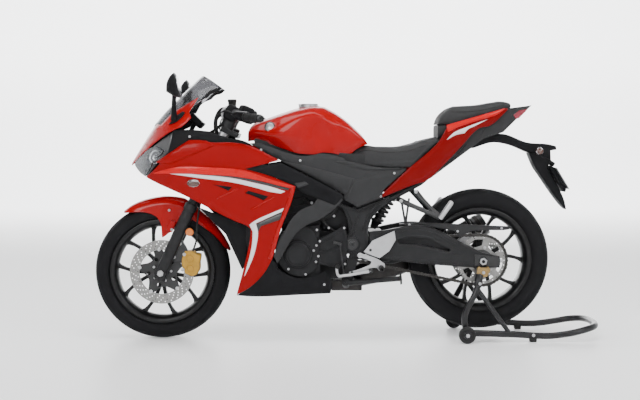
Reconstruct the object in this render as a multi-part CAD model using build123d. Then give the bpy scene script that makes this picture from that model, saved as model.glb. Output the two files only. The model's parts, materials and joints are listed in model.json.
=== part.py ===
"""A fully faired sport motorcycle held upright on its rear paddock stand.

Millimetres. +X points forward, +Y to the rider's left, +Z up. The origin lies on the floor, midway
between the front tyre's leading edge and the end of the stand's handle, on the mid plane.
"""
from math import atan2, cos, degrees, hypot, radians, sin
import os

from build123d import *

# ---------------------------------------------------------------- driving dimensions
overall_length = 2194.0        # front tyre's leading edge to the stand's handle; scales the whole bike
drawn_length = 2194.0          # the overall length that every other size below is drawn at
wheelbase = 1380.0
axle_middle = 114.0            # x midway between the axles
front_tyre_radius = 293.0
front_tyre_width = 110.0
rear_tyre_radius = 307.0
rear_tyre_width = 138.0
rear_lift = 36.0               # air under the rear tyre
rake = 24.5                    # steering axis from vertical, degrees
fork_offset = 35.0             # fork legs ahead of the steering axis
fork_spread = 97.0             # fork leg from the mid plane
skin = 3.0                     # fairing panel thickness
joint_gap = 0.3                # air between pieces that only meet
swing_gap = 5.0                # air between pieces that move past each other
rim_bead_radius = 216.0

front_axle = Vector(axle_middle + wheelbase / 2, 0, front_tyre_radius)
rear_axle = Vector(axle_middle - wheelbase / 2, 0, rear_tyre_radius + rear_lift)
steer_up = Vector(-sin(radians(rake)), 0, cos(radians(rake)))
steer_back = Vector(-cos(radians(rake)), 0, -sin(radians(rake)))
steer_base = front_axle + steer_back * fork_offset      # foot of the steering axis
across = Vector(0, 1, 0)
wide = 400.0                   # beyond every outer skin, for trimming


# ---------------------------------------------------------------- helpers
def prism(outline, y_low, y_high):
    """A side-view outline of (x, z) points carried across the bike from y_low to y_high."""
    face = make_face(Polyline(*[(x, y_low, z) for x, z in outline], close=True))
    return extrude(face, amount=y_high - y_low, dir=(0, 1, 0))


def rod(start, end, radius):
    """A round bar between two points."""
    start, end = Vector(start), Vector(end)
    base = Plane(origin=start, z_dir=(end - start).normalized())
    return base * Cylinder(radius, (end - start).length, align=(Align.CENTER, Align.CENTER, Align.MIN))


def tube(points, radius, bend):
    """A round tube along straight runs joined by arcs of radius bend."""
    path = FilletPolyline(*points, radius=bend) if len(points) > 2 else Line(*points)
    return sweep(Plane(origin=path @ 0, z_dir=path % 0) * Circle(radius), path=path)


def lathe(centre, profile):
    """A closed (radius, y) profile turned about the cross axis through centre."""
    points = [(centre.X + r, centre.Y + y, centre.Z) for r, y in profile]
    face = make_face(Polyline(*points, close=True))
    return revolve(face, axis=Axis(centre, across))


def disc(centre, radius, y_low, y_high):
    """A round plate across the bike."""
    return rod((centre.X, y_low, centre.Z), (centre.X, y_high, centre.Z), radius)


def beside(centre, outline):
    """A side-view outline given from the centre, moved to its place."""
    return [(centre.X + x, centre.Z + z) for x, z in outline]


def inset(points, depth):
    """The (y, z) polyline moved towards the mid plane by depth, with mitred corners."""
    normals = []
    for (y0, z0), (y1, z1) in zip(points, points[1:]):
        length = hypot(y1 - y0, z1 - z0)
        normals.append(((z1 - z0) / length, -(y1 - y0) / length))
    moved = []
    for i, (y, z) in enumerate(points):
        a, b = normals[max(i - 1, 0)], normals[min(i, len(normals) - 1)]
        n = (a[0] + b[0], a[1] + b[1])
        scale = depth * 2 / max(n[0] ** 2 + n[1] ** 2, 1.0)
        moved.append((y + n[0] * scale, z + n[1] * scale))
    return moved


def skin_loft(stations, depth=skin):
    """A shell through stations (x, [(y, z), ...] from top to bottom), depth thick inwards."""
    faces = []
    for x, row in stations:
        ring = row + inset(row, depth)[::-1]
        faces.append(make_face(Polyline(*[(x, y, z) for y, z in ring], close=True)))
    return loft(faces, ruled=True)


def body_loft(stations):
    """A solid symmetric about the mid plane through stations (x, [(y, z), ...]), mid plane first."""
    faces = []
    for x, row in stations:
        ring = row + [(-y, z) for y, z in reversed(row) if y > 0]
        faces.append(make_face(Polyline(*[(x, y, z) for y, z in ring], close=True)))
    return loft(faces, ruled=True)


def both_sides(shape):
    """The piece and its mirror image on the other side."""
    return shape + mirror(shape, about=Plane.XZ)


def on_steering(along, back=0.0, y=0.0):
    """A point given by its distance up the steering axis, behind it and to the left."""
    return steer_base + steer_up * along + steer_back * back + across * y


def about_steering(radius, low, high, back=0.0, y=0.0):
    """A round bar parallel to the steering axis."""
    return rod(on_steering(low, back, y), on_steering(high, back, y), radius)


# ---------------------------------------------------------------- wheels
spoke_pairs = 5
spoke_spread = 20.0            # half the angle between a pair's rim ends, degrees
rim_inner_radius = 200.0


def tyre(axle, radius, width, rim_half):
    """Round-shouldered tyre whose beads stand between the rim's flanges."""
    half = width / 2
    bead = rim_bead_radius + joint_gap
    depth = radius - bead
    seat = rim_half - 6 - joint_gap
    outside = [(1.0, 0.0), (0.965, 0.44), (0.86, 0.76), (0.70, 0.94), (0.48, 1.0), (0.30, 0.96)]
    inside = [(0.26, 0.62), (0.50, 0.80), (0.74, 0.66), (0.86, 0.40), (0.90, 0.0)]
    left = [(bead + depth * a, half * b) for a, b in outside]
    left += [(bead + 11.5, seat), (bead, seat), (bead, seat - 9)]
    left += [(bead + depth * a, half * b) for a, b in inside]
    right = [(r, -y) for r, y in reversed(left) if y > 0]
    return lathe(axle, left + right)


def rim(axle, half_width, hub_radius, hub_half, pair_angle):
    """Cast rim with a well, five pairs of spokes and a hub, one casting."""
    lip = rim_bead_radius + 10.0
    ring = lathe(axle, [
        (rim_inner_radius, -half_width + 14), (rim_bead_radius - 4, -half_width), (lip, -half_width),
        (lip, -half_width + 5), (rim_bead_radius, -half_width + 6), (rim_bead_radius, -half_width + 14),
        (rim_inner_radius + 6, -half_width + 24), (rim_inner_radius + 6, half_width - 24),
        (rim_bead_radius, half_width - 14), (rim_bead_radius, half_width - 6), (lip, half_width - 5),
        (lip, half_width), (rim_bead_radius - 4, half_width), (rim_inner_radius, half_width - 14)])
    whole = ring + disc(axle, hub_radius, -hub_half, hub_half)
    root_radius = hub_radius - 4
    for pair in range(spoke_pairs):
        for side in (-1, 1):
            apex = radians(pair_angle + 360 / spoke_pairs * pair + side * 5.0)
            end = radians(pair_angle + 360 / spoke_pairs * pair + side * spoke_spread)
            root = Vector(axle.X - root_radius * cos(apex), 0, axle.Z + root_radius * sin(apex))
            tip_radius = rim_inner_radius + 3
            tip = Vector(axle.X - tip_radius * cos(end), 0, axle.Z + tip_radius * sin(end))
            spoke = Plane(origin=root, z_dir=(tip - root).normalized(), x_dir=across)
            far_end = spoke.offset((tip - root).length)
            whole += loft([spoke * Rectangle(34, 15), far_end * Rectangle(24, 13)])
    return whole


front_rim_half = 43.0
front_hub_radius = 34.0
front_hub_half = 46.0
axle_radius = 8.0
front_axle_bore = axle_radius + 0.06
front_rim = rim(front_axle, front_rim_half, front_hub_radius, front_hub_half, 121.0)
front_disc_y = 56.0
front_disc_radius = 138.0
disc_thick = 5.0


def brake_disc(axle, outer, inner, y_low, carrier_radius, seat_y, bobbins):
    """Brake ring with ventilation holes, its arms and the boss that seats it on the hub."""
    y_high = y_low + disc_thick
    y_middle = y_low + disc_thick / 2
    ring = disc(axle, outer, y_low, y_high) - disc(axle, inner, y_low - 1, y_high + 1)
    arm_outer = inner + 8
    for n in range(bobbins):
        a = radians(360 / bobbins * n + 18)
        out = Vector(cos(a), 0, sin(a))
        start = Vector(axle.X, y_middle, axle.Z) + out * (carrier_radius - 4)
        length = arm_outer - carrier_radius + 4
        line = Plane(origin=start, z_dir=out, x_dir=across)
        ring += line * Box(disc_thick, 16, length, align=(Align.CENTER, Align.CENTER, Align.MIN))
    low, high = sorted((seat_y, y_high if seat_y < y_low else y_low))
    return ring + disc(axle, carrier_radius, low, high)


front_disc = brake_disc(front_axle, front_disc_radius, 96, front_disc_y, 52, front_hub_half, 5)
for n in range(24):
    a = radians(15 * n)
    r = 108 + 9 * (n % 3)
    hole = Vector(front_axle.X + r * cos(a), 0, front_axle.Z + r * sin(a))
    front_disc -= disc(hole, 3.5, front_disc_y - 1, front_disc_y + disc_thick + 1)

rear_rim_half = 58.0
rear_hub_radius = 44.0
rear_hub_half = 62.0
rear_rim = rim(rear_axle, rear_rim_half, rear_hub_radius, rear_hub_half, 17.0)

# final drive
chain_y = 92.0
chain_half = 8.0
sprocket_thick = 6.0
rear_pitch_radius = 109.0
front_pitch_radius = 38.0
tooth_height = 4.0
rear_teeth = 43
front_sprocket = Vector(66, 0, 402)
chain_plate = 8.0              # half the height of a chain side plate
chain_web = 1.8

tooth_pitch = 360 / rear_teeth
teeth = []
for n in range(rear_teeth):
    for share, r in ((-0.28, -3.5), (-0.12, tooth_height), (0.12, tooth_height), (0.28, -3.5)):
        a = radians(tooth_pitch * (n + share))
        radius = rear_pitch_radius + r
        teeth.append((rear_axle.X + radius * cos(a), rear_axle.Z + radius * sin(a)))
sprocket = prism(teeth, chain_y - sprocket_thick / 2, chain_y + sprocket_thick / 2)
sprocket_window_radius = 76.0
for n in range(6):
    a = radians(60 * n + 20)
    window = rear_axle + Vector(cos(a), 0, sin(a)) * sprocket_window_radius
    sprocket -= disc(window, 17, chain_y - 9, chain_y + 9)
rear_sprocket = sprocket + disc(rear_axle, 46, rear_hub_half, chain_y)

rear_disc_y = -76.0
rear_disc_radius = 110.0
rear_disc = brake_disc(rear_axle, rear_disc_radius, 78, rear_disc_y, 46, -rear_hub_half, 5)

axle_hole_front = disc(front_axle, front_axle_bore, -wide, wide)
axle_hole_rear = disc(rear_axle, front_axle_bore + 1, -wide, wide)
front_rim -= axle_hole_front
front_disc -= axle_hole_front
rear_rim -= axle_hole_rear
rear_sprocket -= axle_hole_rear
rear_disc -= axle_hole_rear
front_tyre = tyre(front_axle, front_tyre_radius, front_tyre_width, front_rim_half)
rear_tyre = tyre(rear_axle, rear_tyre_radius, rear_tyre_width, rear_rim_half)


def belt_loop(offset, y_low, y_high):
    """The outline round both sprockets at offset from the pitch line."""
    big, small = rear_pitch_radius + offset, front_pitch_radius + offset
    run = front_sprocket - rear_axle
    tilt = atan2(run.Z, run.X)
    lean = (big - small) / run.length
    spread = atan2((1 - lean ** 2) ** 0.5, lean)
    points = []
    for centre, radius, a in ((rear_axle, big, spread), (front_sprocket, small, spread),
                              (front_sprocket, small, -spread), (rear_axle, big, -spread)):
        points.append((centre.X + radius * cos(tilt + a), centre.Z + radius * sin(tilt + a)))
    body = prism(points, y_low, y_high)
    return body + disc(rear_axle, big, y_low, y_high) + disc(front_sprocket, small, y_low, y_high)


drive_chain = belt_loop(chain_plate, chain_y - chain_half, chain_y + chain_half)
drive_chain -= belt_loop(-chain_plate, chain_y - wide, chain_y + wide)
groove = sprocket_thick / 2 + 0.8
drive_chain -= belt_loop(chain_plate - chain_web, chain_y - groove, chain_y + groove)

# ---------------------------------------------------------------- fork and bars
slider_radius = 25.0
stanchion_radius = 20.5
slider_top = 322.0
lower_clamp = (462.0, 494.0)
head_tube = (500.0, 654.0)
upper_clamp = (660.0, 682.0)
fork_top = upper_clamp[1] + 12
head = on_steering(sum(head_tube) / 2)
stem_radius = 16.0
head_tube_radius = 30.0

fork_legs = None
for side in (-1, 1):
    y = side * fork_spread
    leg = about_steering(slider_radius, -6, slider_top, -fork_offset, y)
    leg += about_steering(slider_radius + 3, slider_top - 26, slider_top + 6, -fork_offset, y)
    leg += about_steering(stanchion_radius, slider_top, fork_top, -fork_offset, y)
    leg += disc(front_axle, 28, y - 22, y + 22)
    fork_legs = leg if fork_legs is None else fork_legs + leg
fork_legs += disc(front_axle, axle_radius, -fork_spread - 30, fork_spread + 30)
fork_legs += disc(front_axle, 14, -fork_spread, -front_hub_half - joint_gap)
fork_legs += disc(front_axle, 14, front_disc_y + disc_thick + joint_gap, fork_spread)


def clamp_plate(low, high, half_depth):
    """A yoke across both legs and the stem."""
    middle = on_steering((low + high) / 2, -fork_offset / 2 + 4)
    plate = Plane(origin=middle, z_dir=steer_up, x_dir=across)
    return plate * Box(2 * fork_spread + 60, fork_offset + 2 * half_depth, high - low)


triple_clamps = clamp_plate(*lower_clamp, 24) + clamp_plate(*upper_clamp, 22)
triple_clamps += about_steering(stem_radius, lower_clamp[0] + 4, upper_clamp[1] + 10)
for side in (-1, 1):
    triple_clamps -= about_steering(stanchion_radius, 400, 800, -fork_offset, side * fork_spread)

# clip-on bars: from the clamp over the top yoke out to the end of the grip
bar_radius = 11.0
grip_radius = 17.0
bar_root = Vector(488, 104, 966)
bar_end = Vector(364, 340, 948)
grip_from = 118.0              # along the bar from its root to the grip
handlebars = None
grips = None
hand_controls = None
for side in (-1, 1):
    root = Vector(bar_root.X, side * bar_root.Y, bar_root.Z)
    end = Vector(bar_end.X, side * bar_end.Y, bar_end.Z)
    way = (end - root).normalized()
    start = root + way * grip_from
    leg_y = side * fork_spread
    clip = about_steering(stanchion_radius + 9, upper_clamp[1], upper_clamp[1] + 40, -fork_offset, leg_y)
    post_foot = on_steering(upper_clamp[1] + 20, -fork_offset + 14, leg_y)
    bar = clip + rod(post_foot, root, 15) + rod(root, end, bar_radius)
    bar += rod(root - way * 14, root + way * 14, 15)
    bar -= about_steering(stanchion_radius, 600, fork_top, -fork_offset, leg_y)
    handlebars = bar if handlebars is None else handlebars + bar
    grip = rod(start, end - way * 18, grip_radius) + rod(end - way * 18, end, grip_radius - 3)
    grip -= rod(root, end, bar_radius)
    grips = grip if grips is None else grips + grip
    switch_at = root + way * 92
    switch = Plane(origin=switch_at, z_dir=way, x_dir=steer_up) * Box(50, 44, 46)
    pivot = root + way * 62 - steer_back * 30
    perch = Plane(origin=root + way * 58, z_dir=way, x_dir=steer_up) * Box(34, 36, 20)
    lever_end = end - steer_back * 62 - way * 8
    lever = rod(pivot + way * 2, lever_end, 6) + rod(root + way * 58, pivot, 9)
    control = switch + perch + lever
    if side < 0:                # front brake fluid reservoir on its bracket
        cup = root + way * 40 + steer_up * 66 - steer_back * 12
        control += rod(cup, cup + Vector(0, 0, 34), 19) + rod(root + way * 52 - steer_back * 10, cup, 7)
    control -= rod(root, end, bar_radius)
    hand_controls = control if hand_controls is None else hand_controls + control

# ---------------------------------------------------------------- front mudguard and brake
guard_gap = 9.0
guard_radius = front_tyre_radius + guard_gap
guard_half = front_tyre_width / 2 + 10
guard_outside = [(3, 18), (-9, 49), (-32, guard_half), (-52, guard_half)]
guard_inside = [(-52, guard_half - 3), (-33, guard_half - 3), (-12, 47), (0, 17)]
guard_left = [(guard_radius + r, y) for r, y in guard_outside + guard_inside]
arch = lathe(front_axle, guard_left + [(r, -y) for r, y in reversed(guard_left)])
guard_front = beside(front_axle, [
    (0, 0), (206, 259), (126, 299), (46, 347), (-99, 357), (-244, 267), (-334, 107), (-284, 79),
    (-204, 177)])
front_fender = arch & prism(guard_front, -wide, wide)
cheek = beside(front_axle, [
    (46, 267), (-64, 319), (-98, 307), (-88, 276), (-56, 192), (-34, 162), (-1, 144), (4, 210),
    (29, 243)])
cheek_plate = prism(cheek, guard_half - 3, guard_half)
front_fender += both_sides(cheek_plate)
fender_foot = beside(front_axle, [(-62, 207), (-44, 227), (-30, 177), (-48, 159)])
fender_foot = prism(fender_foot, guard_half - 1, fork_spread)
front_fender += both_sides(fender_foot)
for side in (-1, 1):
    leg_y = side * fork_spread
    front_fender -= about_steering(slider_radius, 0, 400, -fork_offset, leg_y)
    front_fender -= about_steering(slider_radius + 3, slider_top - 26, 420, -fork_offset, leg_y)

caliper_outline = beside(front_axle, [
    (-104, 95), (-149, 91), (-164, 57), (-164, 7), (-142, -17), (-100, -3), (-88, 45)])
front_caliper = prism(caliper_outline, 40, 92)
front_caliper -= disc(front_axle, front_disc_radius + 3, front_disc_y - 3, front_disc_y + disc_thick + 3)
front_caliper -= disc(front_axle, 104, 0, front_disc_y)
caliper_mount = beside(front_axle, [(-114, 99), (-124, 79), (-98, 37), (-29, 57), (-59, 127), (-88, 147)])
front_caliper += prism(caliper_mount, 76, 90)
front_caliper -= about_steering(slider_radius, -20, 400, -fork_offset, fork_spread)
front_caliper -= disc(front_axle, 28, 60, 130)

# ---------------------------------------------------------------- frame, swingarm and shock
frame_tube = 15.0
plate_inner, plate_outer = 107.0, 127.0
pivot = Vector(-15, 0, 417)
main_frame = about_steering(head_tube_radius, *head_tube)
rail_tube = 12.0
rail_route = [(-20, 104, 572), (-163, 98, 600), (-310, 86, 678), (-560, 46, 884)]
down_tube = 14.0
down_route = [(head.X + 3, 18, head.Z - 56), (420, 100, 640), (300, 112, 604)]
bend_radius = 40.0
cross_tube = 11.0
seat_cross = (-420, 774)       # x, z of the cross tube under the pillion
frame_runs = [   # name, radius, bend, route of one side
    ("backbone", 17, 60, [(head.X + 14, 20, head.Z - 52), (390, 96, 752), (150, 108, 668), (-4, 106, 560)]),
    ("down tube", down_tube, bend_radius, down_route),
    ("tail rail", rail_tube, bend_radius, rail_route),
    ("fairing stay", 7, 30, [(head.X + 27, 12, head.Z - 14), (640, 40, 848), (700, 60, 880)]),
]
plate_outline = [
    (34, 592), (-39, 566), (-149, 606), (-176, 622), (-168, 596), (-133, 566), (-97, 527), (-82, 478),
    (-84, 433), (-64, 352), (-2, 352), (-4, 376), (14, 400), (14, 434), (-2, 466), (4, 519)]
for name, radius, bend, route in frame_runs:
    main_frame += both_sides(tube(route, radius, bend))
main_frame += both_sides(prism(plate_outline, plate_inner, plate_outer))
main_frame += both_sides(disc(pivot, 30, plate_inner, plate_outer + 6))
for x, z, half in ((-60, 578, 100), (-196, 640, 92), (*seat_cross, 68), (360, 735, 96)):
    main_frame += rod((x, -half, z), (x, half, z), cross_tube)
main_frame += rod((690, -66, 876), (690, 66, 876), 6)

arm_inner, arm_outer = 108.0, 134.0
arm_outline = [
    (-92, 470), (-150, 476), (-200, 486), (-268, 497), (-347, 491), (-470, 432), (-572, 380),
    (-648, 364), (-648, 315), (-523, 317), (-371, 328), (-219, 344), (-137, 358), (-92, 366)]
arm_window = [(-206, 436), (-262, 450), (-340, 443), (-436, 394), (-434, 384), (-300, 415), (-212, 420)]
arm = prism(arm_outline, arm_inner, arm_outer) - prism(arm_window, 0, wide)
swingarm = both_sides(arm)
swingarm += prism([(-92, 466), (-148, 470), (-168, 420), (-148, 372), (-92, 372)], -arm_outer, arm_outer)
swingarm += prism([(-100, 450), (-15, 447), (12, 430), (12, 404), (-15, 387), (-100, 390)], -70, 70)
swingarm -= prism([(-20, 500), (60, 500), (60, 300), (-60, 300)], 52, 69)
swingarm -= disc(pivot, 12, -wide, wide)
chain_room = 3.0
chain_lane = chain_half + chain_room
swingarm -= belt_loop(chain_plate + chain_room, chain_y - chain_lane, chain_y + chain_lane)
rear_spindle = disc(rear_axle, 9, -arm_outer - 14, arm_outer + 14)
rear_spindle += both_sides(disc(rear_axle, 18, arm_outer, arm_outer + 8))
rear_spindle += disc(rear_axle, 15, chain_y + sprocket_thick, arm_inner)
rear_spindle += disc(rear_axle, 15, -arm_inner, rear_disc_y - joint_gap)
swingarm += rear_spindle
main_frame += disc(pivot, 12, -plate_outer - 10, plate_outer + 10)
main_frame -= about_steering(stem_radius + 0.06, 400, 800)

shock_foot, shock_head = Vector(-118, 0, 490), Vector(-196, 0, 626)
shock_way = (shock_head - shock_foot).normalized()
shock_absorber = rod(shock_foot, shock_head, 9)
coil_count = 6
for n in range(coil_count):
    at = shock_foot + shock_way * (34 + 17 * n)
    shock_absorber += rod(at, at + shock_way * 8, 30)
shock_absorber += rod(shock_foot + shock_way * 18, shock_foot + shock_way * 30, 33)
shock_absorber += rod(shock_foot + shock_way * 134, shock_foot + shock_way * 140, 33)
shock_absorber += prism([(-104, 466), (-138, 466), (-130, 505), (-106, 505)], -14, 14)
shock_absorber -= rod((-196, -100, 640), (-196, 100, 640), 11)
shock_absorber -= swingarm

# ---------------------------------------------------------------- engine, cooling and exhaust
case_outline = [
    (-6, 470), (120, 500), (190, 512), (286, 470), (302, 330), (240, 272), (150, 262), (20, 266),
    (-14, 330), (22, 380), (22, 440)]
case_half = 92.0
bulge_outline = [
    (44, 440), (120, 500), (190, 512), (286, 470), (302, 330), (240, 272), (150, 262), (40, 272)]
engine_block = prism(case_outline, -case_half, 76) + prism(bulge_outline, -case_half - 20, 0)
cylinder_outline = [(118, 498), (168, 690), (300, 668), (306, 560), (282, 462)]
engine_block += prism(cylinder_outline, -88, 88)
engine_block += prism([(126, 500), (286, 470), (300, 340), (196, 266), (120, 266)], 70, 132)
engine_block -= belt_loop(chain_plate + 4, 78, 110)
engine_block -= disc(pivot, 40, -wide, wide)
cover_centre = Vector(211, 0, 379)
engine_covers = disc(cover_centre, 62, 132, 168) + disc(cover_centre, 72, 132, 150)
sprocket_cover = [(134, 330), (16, 326), (6, 371), (2, 436), (16, 500), (134, 440)]
engine_covers += prism(sprocket_cover, plate_outer + joint_gap, plate_outer + 13)
engine_covers += disc(Vector(120, 0, 372), 88, -150, -case_half - 20)
engine_covers += disc(Vector(235, 0, 372), 60, -142, -case_half - 20)
engine_covers -= engine_block
engine_covers -= disc(pivot, 32, -wide, wide)

radiator_outline = [(432, 600), (466, 596), (424, 356), (390, 360)]
radiator = prism(radiator_outline, -145.7, 145.7)
radiator += prism([(430, 560), (398, 566), (366, 392), (400, 388)], -80, 80)

pipe_radius = 17.0
exhaust_pipes = None
for y in (-44, 44):
    route = [(296, y, 590), (352, y, 560), (344, y * 0.9, 310), (262, y * 0.8, 238), (60, y * 0.6, 232)]
    run = tube(route, pipe_radius, 50)
    exhaust_pipes = run if exhaust_pipes is None else exhaust_pipes + run
exhaust_pipes += Pos(4, -10, 232) * Box(130, 150, 44)
exhaust_pipes += tube([(-50, -60, 232), (-180, -140, 244), (-300, -192, 302)], 20, 60)
muffler_start, muffler_end = Vector(-300, -196, 300), Vector(-640, -222, 480)
muffler_way = (muffler_end - muffler_start).normalized()
muffler = rod(muffler_start + muffler_way * 8, muffler_end, 52)
muffler += rod(muffler_start - muffler_way * 30, muffler_start + muffler_way * 10, 30)
muffler -= rod(muffler_end - muffler_way * 60, muffler_end + muffler_way * 10, 24)
exhaust_pipes -= muffler
exhaust_pipes -= engine_block
muffler += prism([(-330, 420), (-300, 420), (-320, 360), (-350, 360)], -170, -arm_outer - 4)


# ---------------------------------------------------------------- tank and seats
tank_rows = [   # x, then (y, z) from the ridge round to the underside
    (430, [(0, 905), (40, 903), (60, 885), (56, 858)]),
    (400, [(0, 935), (62, 928), (86, 898), (80, 862)]),
    (340, [(0, 958), (84, 946), (118, 880), (106, 850)]),
    (275, [(0, 980), (98, 968), (140, 920), (120, 828)]),
    (205, [(0, 1002), (104, 990), (150, 962), (132, 805)]),
    (125, [(0, 1011), (98, 1001), (148, 966), (128, 812)]),
    (80, [(0, 996), (84, 990), (132, 940), (116, 806)]),
    (10, [(0, 950), (74, 946), (112, 926), (100, 798)]),
    (-60, [(0, 886), (70, 884), (98, 870), (88, 838)]),
    (-82, [(0, 856), (66, 854), (84, 850), (78, 843)]),
]
rider_rows = [
    (10, [(0, 797.7), (60, 797.7), (84, 792), (88, 770)]),
    (-40, [(0, 826.2), (66, 826.2), (86, 817), (100, 758)]),
    (-80, [(0, 838), (76, 836), (104, 826), (112, 751)]),
    (-125, [(0, 834), (92, 833), (120, 822), (122, 746)]),
    (-200, [(0, 832), (108, 832), (134, 818), (128, 744)]),
    (-262, [(0, 842), (118, 840), (142, 826), (126, 746)]),
    (-326, [(0, 862), (110, 860), (132, 846), (108, 800)]),
    (-386, [(0, 876), (88, 874), (104, 866), (90, 850)]),
]
pillion_rows = [
    (-384, [(0, 934), (60, 933), (70, 930), (74, 925)]),
    (-400, [(0, 970), (66, 968), (84, 952), (84, 930)]),
    (-440, [(0, 1004), (72, 1001), (92, 985), (88, 944)]),
    (-550, [(0, 1010), (76, 1008), (98, 990), (90, 966)]),
    (-626, [(0, 1022), (70, 1019), (92, 1004), (80, 982)]),
    (-706, [(0, 1027), (50, 1024), (70, 1016), (60, 1004)]),
]
fuel_tank = body_loft(tank_rows)
rider_seat = body_loft(rider_rows)
pillion_seat = body_loft(pillion_rows)
hump_pad = prism([(-386, 926), (-416, 940), (-422, 895), (-390, 862), (-390, 872)], -84, 84)
pillion_seat += hump_pad

cap_centre = Vector(165, 0, 1010)
cap_radius = 37.0
fuel_tank -= rod((cap_centre.X, 0, 960), (cap_centre.X, 0, 1040), 24)
filler_ring = rod((cap_centre.X, 0, 990), (cap_centre.X, 0, 1011), cap_radius + 4)
filler_ring -= rod((cap_centre.X, 0, 980), (cap_centre.X, 0, 1030), 22)
filler_ring -= fuel_tank
cap_hinge = Vector(cap_centre.X + cap_radius + 7, 0, 1015)
fuel_cap = rod((cap_centre.X, 0, 1011.4), (cap_centre.X, 0, 1019), cap_radius)
fuel_cap += Pos(cap_centre.X + cap_radius - 2, 0, 1015) * Box(14, 12, 6)
fuel_cap += disc(cap_hinge, 4, -9, 9)
filler_ring += both_sides(disc(cap_hinge, 4, 9.4, 15))
filler_ring += both_sides(Pos(cap_hinge.X - 1, 12.2, 1009) * Box(8, 5.5, 12)) - fuel_tank
fuel_cap -= disc(cap_hinge, 1.6, -20, 20)
filler_ring += disc(cap_hinge, 1.55, -15, 15)

# ---------------------------------------------------------------- fairing hull
hull_rows = [   # x, then (y, z) from the ridge down to the belly
    (936, [(0, 764), (8, 762), (14, 757), (18, 750), (20, 742), (18, 736), (14, 732), (10, 728)]),
    (900, [(0, 824), (36, 812), (62, 786), (72, 762), (78, 735), (74, 715), (66, 700), (50, 688)]),
    (860, [(0, 888), (62, 868), (104, 826), (122, 780), (132, 735), (130, 710), (120, 690), (100, 668)]),
    (800, [(0, 974), (86, 950), (148, 880), (168, 830), (182, 772), (178, 738), (168, 690), (150, 640)]),
    (740, [(0, 1034), (98, 1010), (166, 930), (188, 880), (204, 800), (203, 750), (192, 680), (170, 600)]),
    (640, [(0, 1104), (102, 1070), (170, 1000), (196, 905), (212, 825), (216, 756), (204, 650), (180, 540)]),
    (540, [(0, 1100), (102, 1060), (168, 990), (192, 890), (211, 835), (218, 752), (198, 560), (172, 190)]),
    (440, [(0, 1060), (100, 1030), (160, 960), (186, 880), (206, 820), (217, 740), (194, 500), (164, 190)]),
    (330, [(0, 1000), (90, 980), (150, 920), (178, 850), (202, 790), (214, 712), (190, 450), (158, 190)]),
    (220, [(0, 950), (80, 930), (140, 880), (172, 820), (196, 740), (208, 676), (186, 420), (154, 195)]),
    (10, [(0, 900), (70, 880), (120, 840), (150, 760), (168, 700), (182, 630), (172, 420), (148, 205)]),
]
hull = skin_loft(hull_rows)
hull_faces = []
for x, row in hull_rows:
    ring = [(x, y, z) for y, z in row] + [(x, 0, row[-1][1])]
    hull_faces.append(make_face(Polyline(*ring, close=True)))
hull_solid = loft(hull_faces, ruled=True)
nose_outline = [
    (960, 740), (935, 757), (897, 790), (820, 852), (740, 904), (668, 955), (640, 1002), (641, 1039),
    (662, 1050), (741, 1060), (960, 1060)]
screen_outline = [
    (840, 930), (790, 992), (753, 1022), (721, 1056), (674, 1103), (629, 1142), (587, 1118), (538, 1084),
    (556, 1067), (582, 1059), (636, 1000), (741, 945), (800, 912)]
side_outline = [
    (863, 705), (830, 730), (764, 796), (672, 865), (581, 852), (489, 852), (423, 840), (293, 777),
    (438, 741), (351, 717), (228, 669), (245, 604), (286, 499), (327, 358), (363, 295), (418, 240),
    (478, 205), (448, 316), (419, 448), (416, 489), (435, 503), (480, 521), (687, 626), (842, 694)]
collar_outline = [
    (740, 904), (764, 796), (672, 865), (581, 852), (489, 852), (423, 840), (436, 850), (519, 876),
    (607, 901), (664, 906), (730, 897)]
upper_outline = [
    (438, 741), (289, 768), (158, 703), (33, 637), (23, 616), (62, 587), (134, 616), (207, 649),
    (228, 669), (351, 717)]
rim_outline = [
    (33, 617), (27, 609), (63, 571), (127, 526), (163, 512), (213, 480), (245, 439), (282, 376),
    (304, 339), (320, 372), (296, 440), (262, 500), (245, 529), (207, 567), (149, 596), (134, 616),
    (62, 587)]
belly_outline = [
    (327, 358), (304, 339), (305, 319), (236, 282), (172, 277), (99, 307), (80, 282), (71, 236),
    (79, 209), (203, 204), (408, 198), (478, 204), (418, 240), (363, 295)]
inner_outline = [
    (638, 578), (482, 518), (436, 495), (441, 326), (454, 312), (523, 463), (569, 509)]


def hull_panel(outline):
    """The left skin seen through a side-view outline."""
    return hull & prism(outline, -1, wide)


screen_plan = [(832, 0), (832, 62), (806, 88), (770, 104), (700, 116), (600, 122), (600, 0)]
screen_face = make_face(Polyline(*[(x, y, 800) for x, y in screen_plan], close=True))
screen_room = extrude(screen_face, amount=500, dir=(0, 0, 1))
nose_cowl = both_sides(hull_panel(nose_outline) - screen_room)
screen_rows = [
    (836, [(0, 930), (30, 926), (58, 912), (64, 890)]),
    (785, [(0, 990), (45, 982), (82, 956), (97, 918)]),
    (721, [(0, 1054), (55, 1043), (94, 1012), (110, 960)]),
    (674, [(0, 1101), (60, 1088), (100, 1054), (114, 990)]),
    (629, [(0, 1141), (62, 1128), (102, 1096), (116, 1030)]),
    (536, [(0, 1190), (62, 1172), (104, 1130), (118, 1060)]),
]
windscreen = both_sides(skin_loft(screen_rows, 3.0) & prism(screen_outline, -1, wide))
windscreen -= nose_cowl
side_cowl_left = hull_panel(side_outline)
side_cowl_right = mirror(side_cowl_left, about=Plane.XZ)
black_panel_left = hull_panel(upper_outline) + hull_panel(rim_outline)
black_panel_right = mirror(black_panel_left, about=Plane.XZ)
inner_fairing = both_sides(hull_panel(collar_outline))
belly_side = hull_panel(belly_outline)
pan_floor = [(470, 198), (470, 201), (85, 212), (85, 209)]
belly_pan = both_sides(belly_side) + prism(pan_floor, -152, 152)
inner_cowl = prism(inner_outline, 146, 149)
inner_cowl += prism([(470, 512), (486, 519), (486, 516), (470, 509)], 146, wide)
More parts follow.
